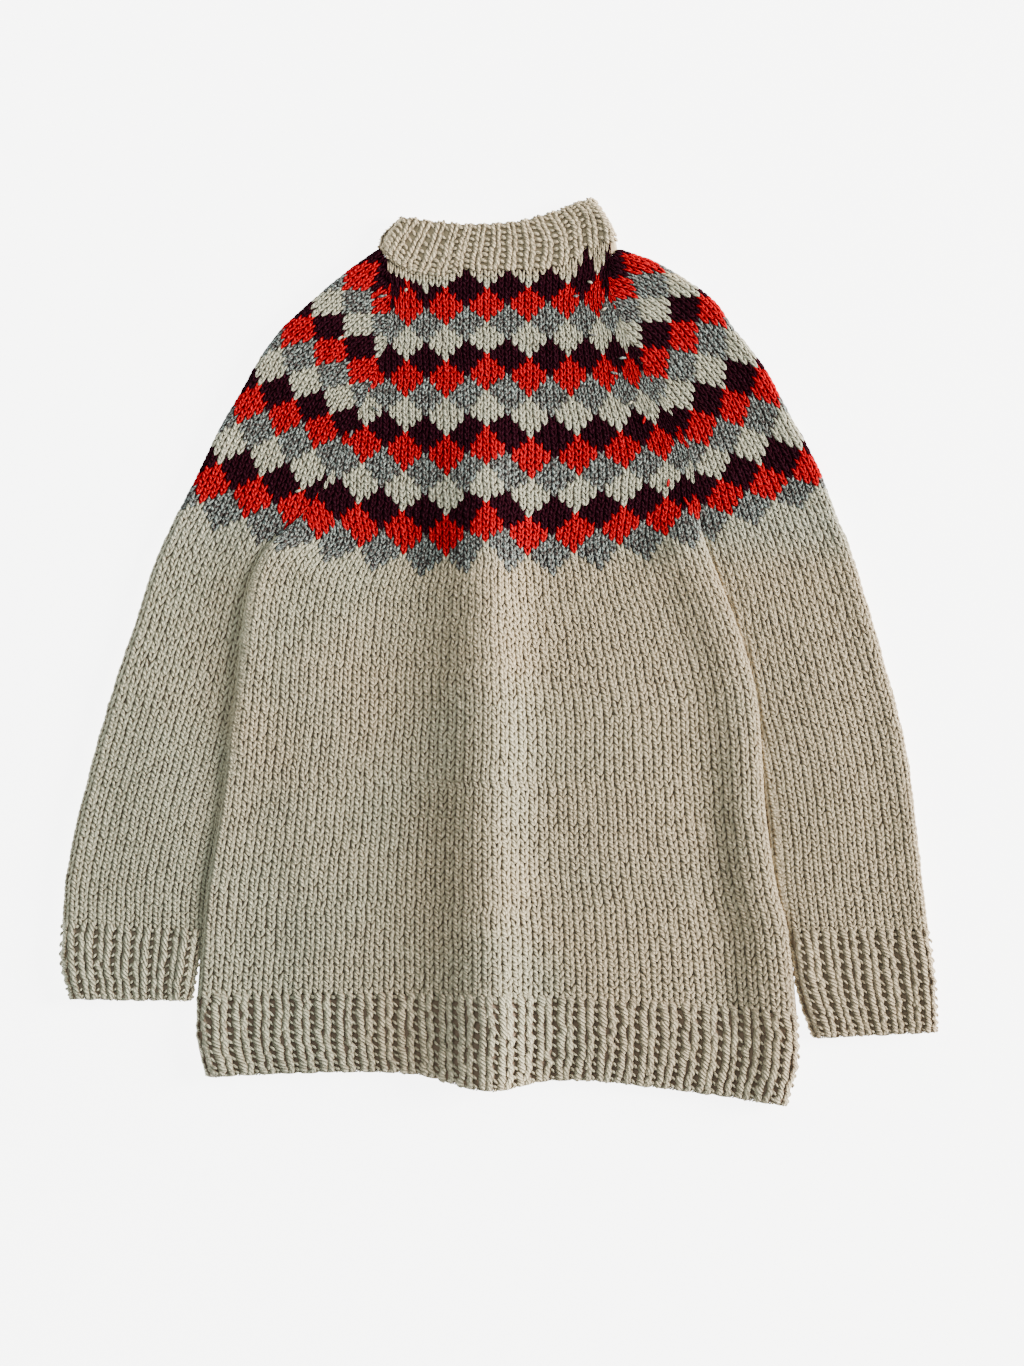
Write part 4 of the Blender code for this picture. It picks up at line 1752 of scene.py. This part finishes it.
class BandLine(Line):
    """A course line of the neckband, part of the way from the neck opening to its upper edge."""

    def __init__(self, share: float) -> None:
        """Place the line's two folds.

        Args:
            share: How far up the band it is, from 0 to 1.
        """
        self.share = share
        foot_left = NECK_CENTRE_X - NECK_HALF_WIDTH
        foot_right = NECK_CENTRE_X + NECK_HALF_WIDTH
        bulge = BAND_SIDE_BULGE * math.sin(math.pi * share)
        left = foot_left + (BAND_TOP[0].x - foot_left) * share - bulge
        right = foot_right + (BAND_TOP[-1].x - foot_right) * share + bulge
        super().__init__((left, 0.0), (right, 0.0), 1.0, 1.0, end_is_seam=False)
        self.upper = True

    def centres(self) -> tuple[float, float, float, float]:
        """Both ends of the band are folds.

        Returns:
            How far along the folds start, and the angle of each.
        """
        turn = math.pi / 2
        inset = FOLD_REACH - EDGE_SPREAD / 2.0
        return inset, self.length - inset, turn, turn

    def place(self, along: np.ndarray) -> tuple[np.ndarray, np.ndarray]:
        """Plan position between the neck opening and the band's upper edge.

        Args:
            along: Distances along the line.

        Returns:
            The x and the y of each place.
        """
        across = np.clip(along / self.length, 0.0, 1.0)
        foot_x = NECK_CENTRE_X + NECK_HALF_WIDTH * (2.0 * across - 1.0)
        dip = FRONT_NECK_DIP if self.upper else BACK_NECK_DIP
        foot_y = neckline(foot_x, dip)
        top = between(BAND_TOP, across * (len(BAND_TOP) - 1))
        leans = np.array(BAND_LEANS)
        shift = np.interp(across, leans[:, 0], leans[:, 1]) * self.share * (1.0 - self.share)
        x = self.start[0] + along
        return x, foot_y + (top[..., 1] - foot_y) * (self.share + shift)

    def profile(self, upper: bool) -> tuple[np.ndarray, np.ndarray]:
        """One layer of the band, whose foot is higher at the back."""
        self.upper = upper
        return super().profile(upper)


@dataclass
class Neckband(Piece):
    """The ribbed neckband, knitted round, with the yoke's first two charted courses under it.

    Attributes:
        cut: Its flat cut.
        ribs: Knit columns across its upper side.
        rib_courses: Courses of ribbing.
        chart_courses: Charted courses under them.
        chart_share: How much of its height the charted courses take.
        relief: How far its knit columns stand over the purl ones.
        recess_painted_light: How much painted light the base keeps between the purl bumps, from 0,
            all painted shade, to 1.
        knit_share: How much of the width its knit columns take.
        seed: Picks its small differences.
    """

    cut: Cut
    ribs: int = 15
    rib_courses: int = 8
    chart_courses: int = 2
    chart_share: float = 0.2
    relief: float = 0.7
    recess_painted_light: float = 0.90
    knit_share: float = 0.63
    seed: int = 31
    slot = "rib"
    name = "neckband"

    def rib_shares(self) -> list[float]:
        """Where the ribbing's course lines are, as shares of the band's height."""
        return list(np.linspace(1.0, self.chart_share, self.rib_courses + 1))

    def build(self, materials: list[bpy.types.Material], front: BodyPanel) -> None:
        """Args:
            materials: The yarns' materials.
            front: The panel whose wales go on into the charted courses.
        """
        ribbing = Ribbing(
            self.name,
            [BandLine(share) for share in self.rib_shares() + [0.0]],
            self.ribs,
            Layers.BOTH,
            self.cut,
            bound=False,
            relief=self.relief,
            seed=self.seed,
            ribbed=self.rib_courses,
            over_edge=True,
            recess_painted_light=self.recess_painted_light,
            knit_share=self.knit_share,
        )
        ribbing.build(materials)
        self.knit_chart(materials, front)

    def knit_chart(self, materials: list[bpy.types.Material], front: BodyPanel) -> None:
        """Knit the charted courses over the foot of the band.

        Args:
            materials: The yarns' materials.
            front: The panel whose wales they share.
        """
        below = Strip(*front.line(self.chart_courses).profile(True))
        x = below.read(front.parting(below, self.chart_courses))[0][:, 0]
        strips, places = [], []
        for share in np.linspace(self.chart_share, 0.0, self.chart_courses + 1):
            strip = Strip(*BandLine(float(share)).profile(True))
            spots = strip.points[:, 0]
            strips.append(strip)
            places.append(np.interp(x, spots, strip.along))
        knitting = Knitting.from_strips(strips, places)
        course = np.arange(self.chart_courses)[:, None]
        wale = np.arange(len(x) - 1)[None, :] - front.wales // 2
        knitting.yarns = charted(course, wale)
        knitting.drop_slivers()
        knitting.keep_band_cream()
        wanted = np.ones(knitting.yarns.shape, bool)
        piece = cast_plain("neckband_chart_stitches", knitting, wanted, materials, self.seed)
        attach(piece, "root")
        report(piece)


@dataclass
class StrayLoops:
    """The few loops that stand out of the yoke near its seams.

    Attributes:
        name: The name of the piece.
        half_width: Half a loop's width.
        thick: A loop's height.
        arch: How far a loop's middle stands over its ends.
        tip: How much of its width and height is left at its tips.
        seed: Picks their small differences.
    """

    name: str = "front_stray_loops"
    half_width: float = 1.3
    thick: float = 1.5
    arch: float = 0.5
    tip: float = 0.35
    seed: int = 41

    # Keeps a loop's tips from closing
    BLUNT = 0.94

    def build(self, materials: list[bpy.types.Material]) -> None:
        """Lay the loops on the stitches.

        Args:
            materials: The yarns' materials.
        """
        mesh = YarnMesh(self.name)
        table = np.array(LOOPS, float)
        x, y, length = table[:, 0:1], table[:, 1:2], table[:, 2:3]
        turn = np.radians(table[:, 3:4])
        share = np.linspace(-0.5, 0.5, mesh.stations)[None, :]
        along_x = x + length * share * np.cos(turn)
        along_y = y + length * share * np.sin(turn)
        arch = self.arch * np.cos(math.pi * share)
        height = FLAT_HEIGHT + fold_height(along_x, along_y) + arch
        centres = np.stack([along_x, along_y, height], axis=-1)
        across = np.stack([-np.sin(turn), np.cos(turn), np.zeros_like(turn)], axis=-1)
        rounded = np.cos(math.pi * share * self.BLUNT)[..., None]
        taper = self.tip + (1.0 - self.tip) * rounded
        sides = across * taper * self.half_width
        ups = np.array([0.0, 0.0, self.thick]) * taper * np.ones((len(x), 1, 1))
        chance = np.random.default_rng(self.seed)
        mesh.add(centres, sides, ups, table[:, 4].astype(int), LIGHT_LEG, chance)
        piece = mesh.build(materials)
        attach(piece, "root")
        report(piece)


# What an operator takes
Number = "Value | float"


@dataclass
class Value:
    """A number in a material's node tree, with Python's operators as nodes.

    Attributes:
        nodes: The tree that it is in.
        socket: The output that gives it.
    """

    nodes: "Nodes"
    socket: bpy.types.NodeSocket

    def maths(self, operation: str, first: Number, second: Number = 0.0) -> "Value":
        """The result of one Math node."""
        return self.nodes.add("ShaderNodeMath", {"operation": operation}, {0: first, 1: second})

    def __add__(self, other: Number) -> "Value":
        """Sum."""
        return self.maths("ADD", self, other)

    def __radd__(self, other: Number) -> "Value":
        """Sum, the other way round."""
        return self.maths("ADD", other, self)

    def __sub__(self, other: Number) -> "Value":
        """Difference."""
        return self.maths("SUBTRACT", self, other)

    def __rsub__(self, other: Number) -> "Value":
        """Difference, the other way round."""
        return self.maths("SUBTRACT", other, self)

    def __mul__(self, other: Number) -> "Value":
        """Product."""
        return self.maths("MULTIPLY", self, other)

    def __rmul__(self, other: Number) -> "Value":
        """Product, the other way round."""
        return self.maths("MULTIPLY", other, self)

    def __pow__(self, other: Number) -> "Value":
        """Power."""
        return self.maths("POWER", self, other)

    def sine(self) -> "Value":
        """Sine of an angle in radians."""
        return self.maths("SINE", self)

    def between(self, low: float, high: float) -> "Value":
        """Smooth step from 0 at low to 1 at high."""
        settings = {"interpolation_type": "SMOOTHSTEP", "clamp": True}
        return self.nodes.add(
            "ShaderNodeMapRange", settings, {"Value": self, "From Min": low, "From Max": high}
        )


class Nodes:
    """A material's nodes."""

    # The Mix node's sockets for colours
    MIX_FIRST = 6
    MIX_SECOND = 7
    MIX_OUT = 2

    def __init__(self, material: bpy.types.Material) -> None:
        """Start from the material's own shader.

        Args:
            material: The material.
        """
        material.use_nodes = True
        self.tree = material.node_tree
        self.shader = self.tree.nodes["Principled BSDF"]

    def add(self, kind: str, settings: dict, inputs: dict, output: int | str = 0) -> Value:
        """Add one node.

        Args:
            kind: Its Blender type.
            settings: Its properties, which are set first.
            inputs: A value or a link for each named or numbered input.
            output: The output that is wanted.

        Returns:
            That output.
        """
        node = self.tree.nodes.new(kind)
        for name, value in settings.items():
            setattr(node, name, value)
        for name, value in inputs.items():
            self.feed(node.inputs[name], value)
        return Value(self, node.outputs[output])

    def feed(self, socket: bpy.types.NodeSocket, value: object) -> None:
        """Link a value to a socket, or set the socket where the value is constant.

        Args:
            socket: The input.
            value: A Value, or else what the input holds.
        """
        if isinstance(value, Value):
            self.tree.links.new(value.socket, socket)
        else:
            socket.default_value = value

    def stored(self, name: str, output: str) -> Value:
        """What the mesh stores under a name."""
        return self.add("ShaderNodeAttribute", {"attribute_name": name}, {}, output)

    def apart(self, vector: Value) -> tuple[Value, Value, Value]:
        """The three numbers of a vector."""
        split = self.add("ShaderNodeSeparateXYZ", {}, {0: vector})
        return tuple(Value(self, socket) for socket in split.socket.node.outputs)

    def joined(self, x: Number, y: Number, z: Number) -> Value:
        """A vector of three numbers."""
        return self.add("ShaderNodeCombineXYZ", {}, {0: x, 1: y, 2: z})

    def noise(self, place: Value, scale: float, detail: float, rough: float = 0.5) -> Value:
        """Noise from about 0 to 1."""
        inputs = {"Vector": place, "Scale": scale, "Detail": detail, "Roughness": rough}
        return self.add("ShaderNodeTexNoise", {}, inputs)

    def mixed(self, share: Number, first: object, second: object) -> Value:
        """A colour between two."""
        inputs = {0: share, self.MIX_FIRST: first, self.MIX_SECOND: second}
        return self.add("ShaderNodeMix", {"data_type": "RGBA"}, inputs, self.MIX_OUT)

    def scaled(self, colour: Value, amount: Number) -> Value:
        """A colour made brighter or darker."""
        settings = {"operation": "SCALE"}
        return self.add("ShaderNodeVectorMath", settings, {0: colour, "Scale": amount})


class Tint(NamedTuple):
    """A colour in linear light."""

    red: float
    green: float
    blue: float

    def rgba(self) -> tuple[float, float, float, float]:
        """The colour with full alpha."""
        return self.red, self.green, self.blue, 1.0


@dataclass(frozen=True)
class Yarn:
    """Thick single-ply wool, its fibres blended from several shades.

    Attributes:
        name: The name of its material.
        tint: Its main colour.
        light_fleck: The colour of its palest fibres.
        dark_fleck: The colour of its darkest fibres.
        light_share: How much of it is pale fibre.
        dark_share: How much of it is dark fibre.
        cool: Its colour in patches and towards the hem, where it looks a little greener.
        on_yoke: Its colour in the patterned yoke.
        painted_shade: The painted shade that its colour goes to deep between stitches, on flanks
            and ends.
        shine: How much light its loose fibres catch.
    """

    name: str
    tint: Tint
    light_fleck: Tint
    dark_fleck: Tint
    light_share: float
    dark_share: float
    cool: Tint
    on_yoke: Tint
    painted_shade: Tint
    shine: float

    # Where the wool's looks change, in metres from none to all of the change
    YOKE_FOOT = (0.06, 0.11)
    YOKE_TOP = (0.33, 0.31)
    # Where the painted highlight on the right flank of the front's crest lies
    HIGHLIGHT_LEFT = (-0.014, 0.010)
    HIGHLIGHT_RIGHT = (0.044, 0.018)
    HIGHLIGHT_HEIGHT = (0.009, 0.014)
    HIGHLIGHT_END = (0.13, 0.04)

    # How the cool tint spreads: to the left, towards the hem and in patches
    COOL_LEFT = 2.2
    COOL_DOWN = 1.2
    COOL_PATCHES = 2.2
    COOL_STARTS = 0.95
    PATCH_SCALE = 6.5

    # The flecks of pale and dark fibre: per millimetre of a strand, and from strand to strand
    FLECK_ACROSS = 0.75
    FLECK_SLANT = 0.3
    FLECK_ALONG = 0.35
    FLECK_APART = 60.0
    FLECK_EDGE = (0.50, 0.62)

    # The twist of the plies, in radians per millimetre, and from strand to strand
    PLY_ALONG = 1.6
    PLY_ACROSS = 1.8
    PLY_APART = 6.0

    # The tone of the wool, and how it varies: from strand to strand, in broad patches, with
    # painted light and shade along the plies, with a painted highlight on the front's crest,
    # and up the garment
    TONE = 0.88
    STRAND_TONE = 0.30
    BROAD_TONE = 0.20
    BROAD_SCALE = 9.0
    # How strongly light and shade are painted along the twist of the plies
    PLY_PAINTED_SHADING = 0.26
    CREST_PAINTED_HIGHLIGHT = 0.28
    TONE_UP = 0.30
    # How the painted shade deepens towards the hollows between stitches
    PAINTED_SHADE_CURVE = 1.25

    # The loose fibres in the bump, per millimetre, and how strongly plies and fibres show in it
    WISP_ACROSS = 5.0
    WISP_ALONG = 1.2
    WISP_APART = 40.0
    WISP_SCALE = 1.6
    PLY_BUMP = 1.1
    WISP_BUMP = 1.2
    BUMP_STRENGTH = 0.8
    BUMP_METRES = 0.0006
    ROUGHNESS = 0.9
    SHEEN_ROUGHNESS = 0.5

    def material(self) -> bpy.types.Material:
        """Make the yarn's material.

        Returns:
            The material.
        """
        material = bpy.data.materials.new(self.name)
        nodes = Nodes(material)
        across, along, chance = nodes.apart(nodes.stored("strand", "Vector"))
        painted_light = nodes.stored("painted_light", "Fac")
        plies = nodes.stored("plies", "Fac")
        place = nodes.add("ShaderNodeTexCoord", {}, {}, "Object")
        x, y, z = nodes.apart(place)

        drift = nodes.noise(place, self.PATCH_SCALE, detail=2.0)
        lean = x * -self.COOL_LEFT - y * self.COOL_DOWN
        cool = (lean + drift * self.COOL_PATCHES - self.COOL_STARTS).between(0.0, 1.0)
        colour = nodes.mixed(cool, self.tint.rgba(), self.cool.rgba())
        on_yoke = y.between(*self.YOKE_FOOT) * y.between(*self.YOKE_TOP)
        colour = nodes.mixed(on_yoke, colour, self.on_yoke.rgba())
        slanted = across * self.FLECK_ACROSS + along * self.FLECK_SLANT
        fibre = nodes.joined(slanted, along * self.FLECK_ALONG, chance * self.FLECK_APART)
        shade = nodes.noise(fibre, scale=1.0, detail=2.0, rough=0.6)
        light = shade.between(*self.FLECK_EDGE) * self.light_share
        dark = (1.0 - shade).between(*self.FLECK_EDGE) * self.dark_share
        colour = nodes.mixed(light, colour, self.light_fleck.rgba())
        colour = nodes.mixed(dark, colour, self.dark_fleck.rgba())
        turn = along * self.PLY_ALONG - across * self.PLY_ACROSS + chance * self.PLY_APART
        ply = turn.sine() * plies
        broad = nodes.noise(place, self.BROAD_SCALE, detail=2.0)
        # A painted highlight on the right flank of the front's crest
        crest = x.between(*self.HIGHLIGHT_LEFT) * x.between(*self.HIGHLIGHT_RIGHT)
        crest = crest * z.between(*self.HIGHLIGHT_HEIGHT) * y.between(*self.HIGHLIGHT_END)
        tone = self.TONE + chance * self.STRAND_TONE + broad * self.BROAD_TONE
        # The plies add painted light and shade, and the crest a painted highlight
        tone = tone + ply * self.PLY_PAINTED_SHADING + crest * self.CREST_PAINTED_HIGHLIGHT + y * self.TONE_UP
        colour = nodes.scaled(colour, tone)
        # Painted shade: the colour goes to the shade colour deep between stitches
        colour = nodes.mixed(painted_light**self.PAINTED_SHADE_CURVE, self.painted_shade.rgba(), colour)

        aside, down = across * self.WISP_ACROSS, along * self.WISP_ALONG
        hairs = nodes.joined(aside, down, chance * self.WISP_APART)
        wisps = nodes.noise(hairs, self.WISP_SCALE, detail=4.0, rough=0.65)
        relief = ply * self.PLY_BUMP + wisps * self.WISP_BUMP
        sizes = {"Strength": self.BUMP_STRENGTH, "Distance": self.BUMP_METRES}
        inputs = {
            "Base Color": colour,
            "Normal": nodes.add("ShaderNodeBump", {}, {**sizes, "Height": relief}),
            "Roughness": self.ROUGHNESS,
            "Specular IOR Level": self.shine,
            "Sheen Weight": self.shine,
            "Sheen Roughness": self.SHEEN_ROUGHNESS,
        }
        for name, value in inputs.items():
            nodes.feed(nodes.shader.inputs[name], value)
        return material


CREAM = Yarn(
    "cream_wool",
    tint=Tint(0.69, 0.555, 0.375),
    light_fleck=Tint(0.86, 0.76, 0.55),
    dark_fleck=Tint(0.45, 0.35, 0.23),
    light_share=0.5,
    dark_share=0.5,
    cool=Tint(0.57, 0.575, 0.43),
    on_yoke=Tint(0.60, 0.61, 0.485),
    painted_shade=Tint(0.170, 0.125, 0.087),
    shine=0.05,
)
RED = Yarn(
    "red_wool",
    tint=Tint(0.64, 0.0004, 0.010),
    light_fleck=Tint(0.72, 0.001, 0.016),
    dark_fleck=Tint(0.34, 0.0003, 0.005),
    light_share=0.6,
    dark_share=0.6,
    cool=Tint(0.60, 0.0004, 0.010),
    on_yoke=Tint(0.60, 0.0004, 0.010),
    painted_shade=Tint(0.115, 0.0005, 0.002),
    shine=0.0,
)
GREY = Yarn(
    "grey_heather_wool",
    tint=Tint(0.172, 0.172, 0.166),
    light_fleck=Tint(0.46, 0.55, 0.53),
    dark_fleck=Tint(0.042, 0.026, 0.026),
    light_share=0.95,
    dark_share=0.95,
    cool=Tint(0.172, 0.172, 0.166),
    on_yoke=Tint(0.172, 0.172, 0.166),
    painted_shade=Tint(0.035, 0.022, 0.020),
    shine=0.05,
)
BLACK = Yarn(
    "black_wool",
    tint=Tint(0.023, 0.0027, 0.0078),
    light_fleck=Tint(0.042, 0.010, 0.020),
    dark_fleck=Tint(0.016, 0.002, 0.004),
    light_share=0.5,
    dark_share=0.5,
    cool=Tint(0.023, 0.0027, 0.0078),
    on_yoke=Tint(0.023, 0.0027, 0.0078),
    painted_shade=Tint(0.010, 0.0012, 0.0030),
    shine=0.01,
)
# Cream darkened and reddened as painted shade, for the base between the ribs
SHADED = replace(
    CREAM,
    name="cream_wool_painted_shade_between_ribs",
    tint=Tint(0.58, 0.46, 0.30),
    cool=Tint(0.50, 0.44, 0.32),
    on_yoke=Tint(0.58, 0.46, 0.30),
    painted_shade=Tint(0.19, 0.100, 0.080),
)
YARNS = {
    Colour.CREAM: CREAM,
    Colour.RED: RED,
    Colour.GREY: GREY,
    Colour.BLACK: BLACK,
    Colour.SHADED: SHADED,
}


class Lamp(NamedTuple):
    """A soft square lamp: where it hangs and its side in metres, its watts and its colour."""

    name: str
    place: tuple[float, float, float]
    size: float
    power: float
    colour: tuple[float, float, float]


@dataclass
class Studio:
    """The plain pale ground, the soft light and the camera straight above.

    Attributes:
        centre_x: What the camera looks down on, in metres.
        centre_y: The same.
        frame_height: How much of the ground fills the picture's height at the cloth's top.
        cloth_top: Height of the cloth's top.
        distance: From the cloth's top to the camera.
        sensor: The height of the camera's sensor, in millimetres.
        lamps: The lamps.
        aim: What they face.
        sky_strength: How bright the light from all round is.
        sky_colour: Its colour.
        floor_size: The side of the ground.
        floor_drop: How far it lies under the cloth.
        floor_tone: How pale it is.
        floor_glow: How brightly it shines, as a lit white sweep does.
    """

    centre_x: float = 0.0109
    centre_y: float = -0.0284
    frame_height: float = 1.17476
    cloth_top: float = 0.010
    distance: float = 2.2
    sensor: float = 36.0
    lamps: tuple[Lamp, ...] = (
        Lamp("key", (5.6, 0.9, 1.75), 2.2, 1250.0, (1.0, 0.95, 0.86)),
        Lamp("fill", (-0.8, 0.8, 1.3), 1.4, 13.0, (0.90, 1.0, 0.96)),
    )
    aim: tuple[float, float, float] = (0.0, -0.03, 0.0)
    sky_strength: float = 0.32
    sky_colour: tuple[float, float, float] = (0.90, 1.0, 0.96)
    floor_size: float = 12.0
    floor_drop: float = 0.0005
    floor_tone: float = 0.92
    floor_glow: float = 6.0

    def build(self) -> None:
        """Set up the ground, the lamps, the sky and the camera."""
        self.ground()
        for lamp in self.lamps:
            self.hang(lamp)
        self.sky()
        self.camera()

    def ground(self) -> None:
        """Lay the floor."""
        place = (0.0, 0.0, -self.floor_drop)
        bpy.ops.mesh.primitive_plane_add(size=self.floor_size, location=place)
        floor = bpy.context.object
        floor.name = "floor"
        material = bpy.data.materials.new("pale_floor")
        nodes = Nodes(material)
        tone = Tint(self.floor_tone, self.floor_tone, self.floor_tone)
        nodes.feed(nodes.shader.inputs["Base Color"], tone.rgba())
        nodes.feed(nodes.shader.inputs["Roughness"], 0.9)
        nodes.feed(nodes.shader.inputs["Emission Color"], (1.0, 1.0, 1.0, 1.0))
        nodes.feed(nodes.shader.inputs["Emission Strength"], self.floor_glow)
        floor.data.materials.append(material)
        floor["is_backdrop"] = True

    def hang(self, lamp: Lamp) -> None:
        """Hang one lamp so that it faces the garment.

        Args:
            lamp: The lamp.
        """
        light = bpy.data.lights.new(lamp.name, "AREA")
        light.size = lamp.size
        light.energy = lamp.power
        light.color = lamp.colour
        hung = bpy.data.objects.new(lamp.name, light)
        hung.location = lamp.place
        towards = Vector(self.aim) - Vector(lamp.place)
        hung.rotation_euler = towards.to_track_quat("-Z", "Y").to_euler()
        bpy.context.scene.collection.objects.link(hung)

    def sky(self) -> None:
        """Light everything evenly from around."""
        world = bpy.data.worlds.new("soft_sky")
        world.use_nodes = True
        background = world.node_tree.nodes["Background"]
        background.inputs["Color"].default_value = (*self.sky_colour, 1.0)
        background.inputs["Strength"].default_value = self.sky_strength
        bpy.context.scene.world = world

    def camera(self) -> None:
        """Point the camera straight down, with Y up in the picture."""
        data = bpy.data.cameras.new("camera")
        data.sensor_fit = "VERTICAL"
        data.sensor_height = self.sensor
        data.lens = self.sensor * self.distance / self.frame_height
        camera = bpy.data.objects.new("camera", data)
        camera.location = (self.centre_x, self.centre_y, self.cloth_top + self.distance)
        bpy.context.scene.collection.objects.link(camera)
        bpy.context.scene.camera = camera


def garment() -> tuple[list[Piece], Neckband, BodyPanel]:
    """List what the garment is made of.

    Returns:
        Its pieces from the bottom layer up, its neckband, and the front once more.
    """
    back_courses = (
        Course(-2, 343.4, 343.5, 339.8, 4.0, 0.0, 6.10, 6.10, 0.0, 0.0),
        Course(18, 234.8, 240.8, 222.0, 2.0, 0.0, 6.10, 6.10, 0.0, 0.0),
        FRONT_COURSES[5],
        FRONT_COURSES[7],
    )
    body_cut = Cut(0.52, 0.66, 0.245)
    sleeve_cut = Cut(0.24, 0.60, 0.115)
    front_rib_cut = Cut(0.52, 0.07, 0.036)
    back_rib_cut = Cut(0.51, 0.07, 0.035)
    front = BodyPanel("front", FRONT_COURSES, upper=True, cut=body_cut, seed=1)
    back = BodyPanel("back", back_courses, upper=False, cut=body_cut, seed=2)
    hem_lines = rib_lines(HEM_ROWS, courses=10, on_body=True)
    hem_ribs = 30
    cuff_ribs = 8
    pieces = [
        back,
        Ribbing("back_hem_rib", hem_lines, hem_ribs, Layers.LOWER, back_rib_cut, seed=22),
        Sleeve(Side.LEFT, LEFT_SLEEVE_COURSES, phase=2.8, cut=sleeve_cut),
        Sleeve(
            Side.RIGHT,
            RIGHT_SLEEVE_COURSES,
            phase=1.7,
            cut=sleeve_cut,
            seed=12,
            seam_courses=(80, 101),
        ),
        Ribbing(
            "cuff_left",
            rib_lines(LEFT_CUFF_ROWS, courses=9, on_body=False),
            cuff_ribs,
            Layers.BOTH,
            Cut(0.24, 0.062, 0.0145),
            recess_painted_light=0.55,
        ),
        Ribbing(
            "cuff_right",
            rib_lines(RIGHT_CUFF_ROWS, courses=12, on_body=False),
            cuff_ribs,
            Layers.BOTH,
            Cut(0.24, 0.088, 0.02),
            seed=23,
            recess_painted_light=0.48,
        ),
        front,
        Ribbing("front_hem_rib", hem_lines, hem_ribs, Layers.UPPER, front_rib_cut, seed=24),
    ]
    return pieces, Neckband(Cut(0.40, 0.06, 0.0195)), front


def main() -> None:
    """Build the garment, dress it and light it, and measure its bounds before and after."""
    logging.basicConfig(level=logging.INFO, format="%(message)s")
    materials = [YARNS[colour].material() for colour in Colour]
    pieces, neckband, front = garment()
    Studio().build()
    for piece in pieces:
        piece.build(materials)
    neckband.build(materials, front)
    StrayLoops().build(materials)
    {"loaded": as_lists(LOADED_BOUNDS), "dressed": as_lists(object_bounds())}


def as_lists(bounds: object) -> object:
    """Bounds as plain lists that JSON can hold.

    Args:
        bounds: Numbers, in any nesting of sequences or dictionaries.

    Returns:
        The same nesting of lists and floats.
    """
    if isinstance(bounds, dict):
        return {key: as_lists(value) for key, value in bounds.items()}
    if hasattr(bounds, "__len__") and not isinstance(bounds, str):
        return [as_lists(value) for value in bounds]
    return float(bounds)


if __name__ == "__main__":
    main()
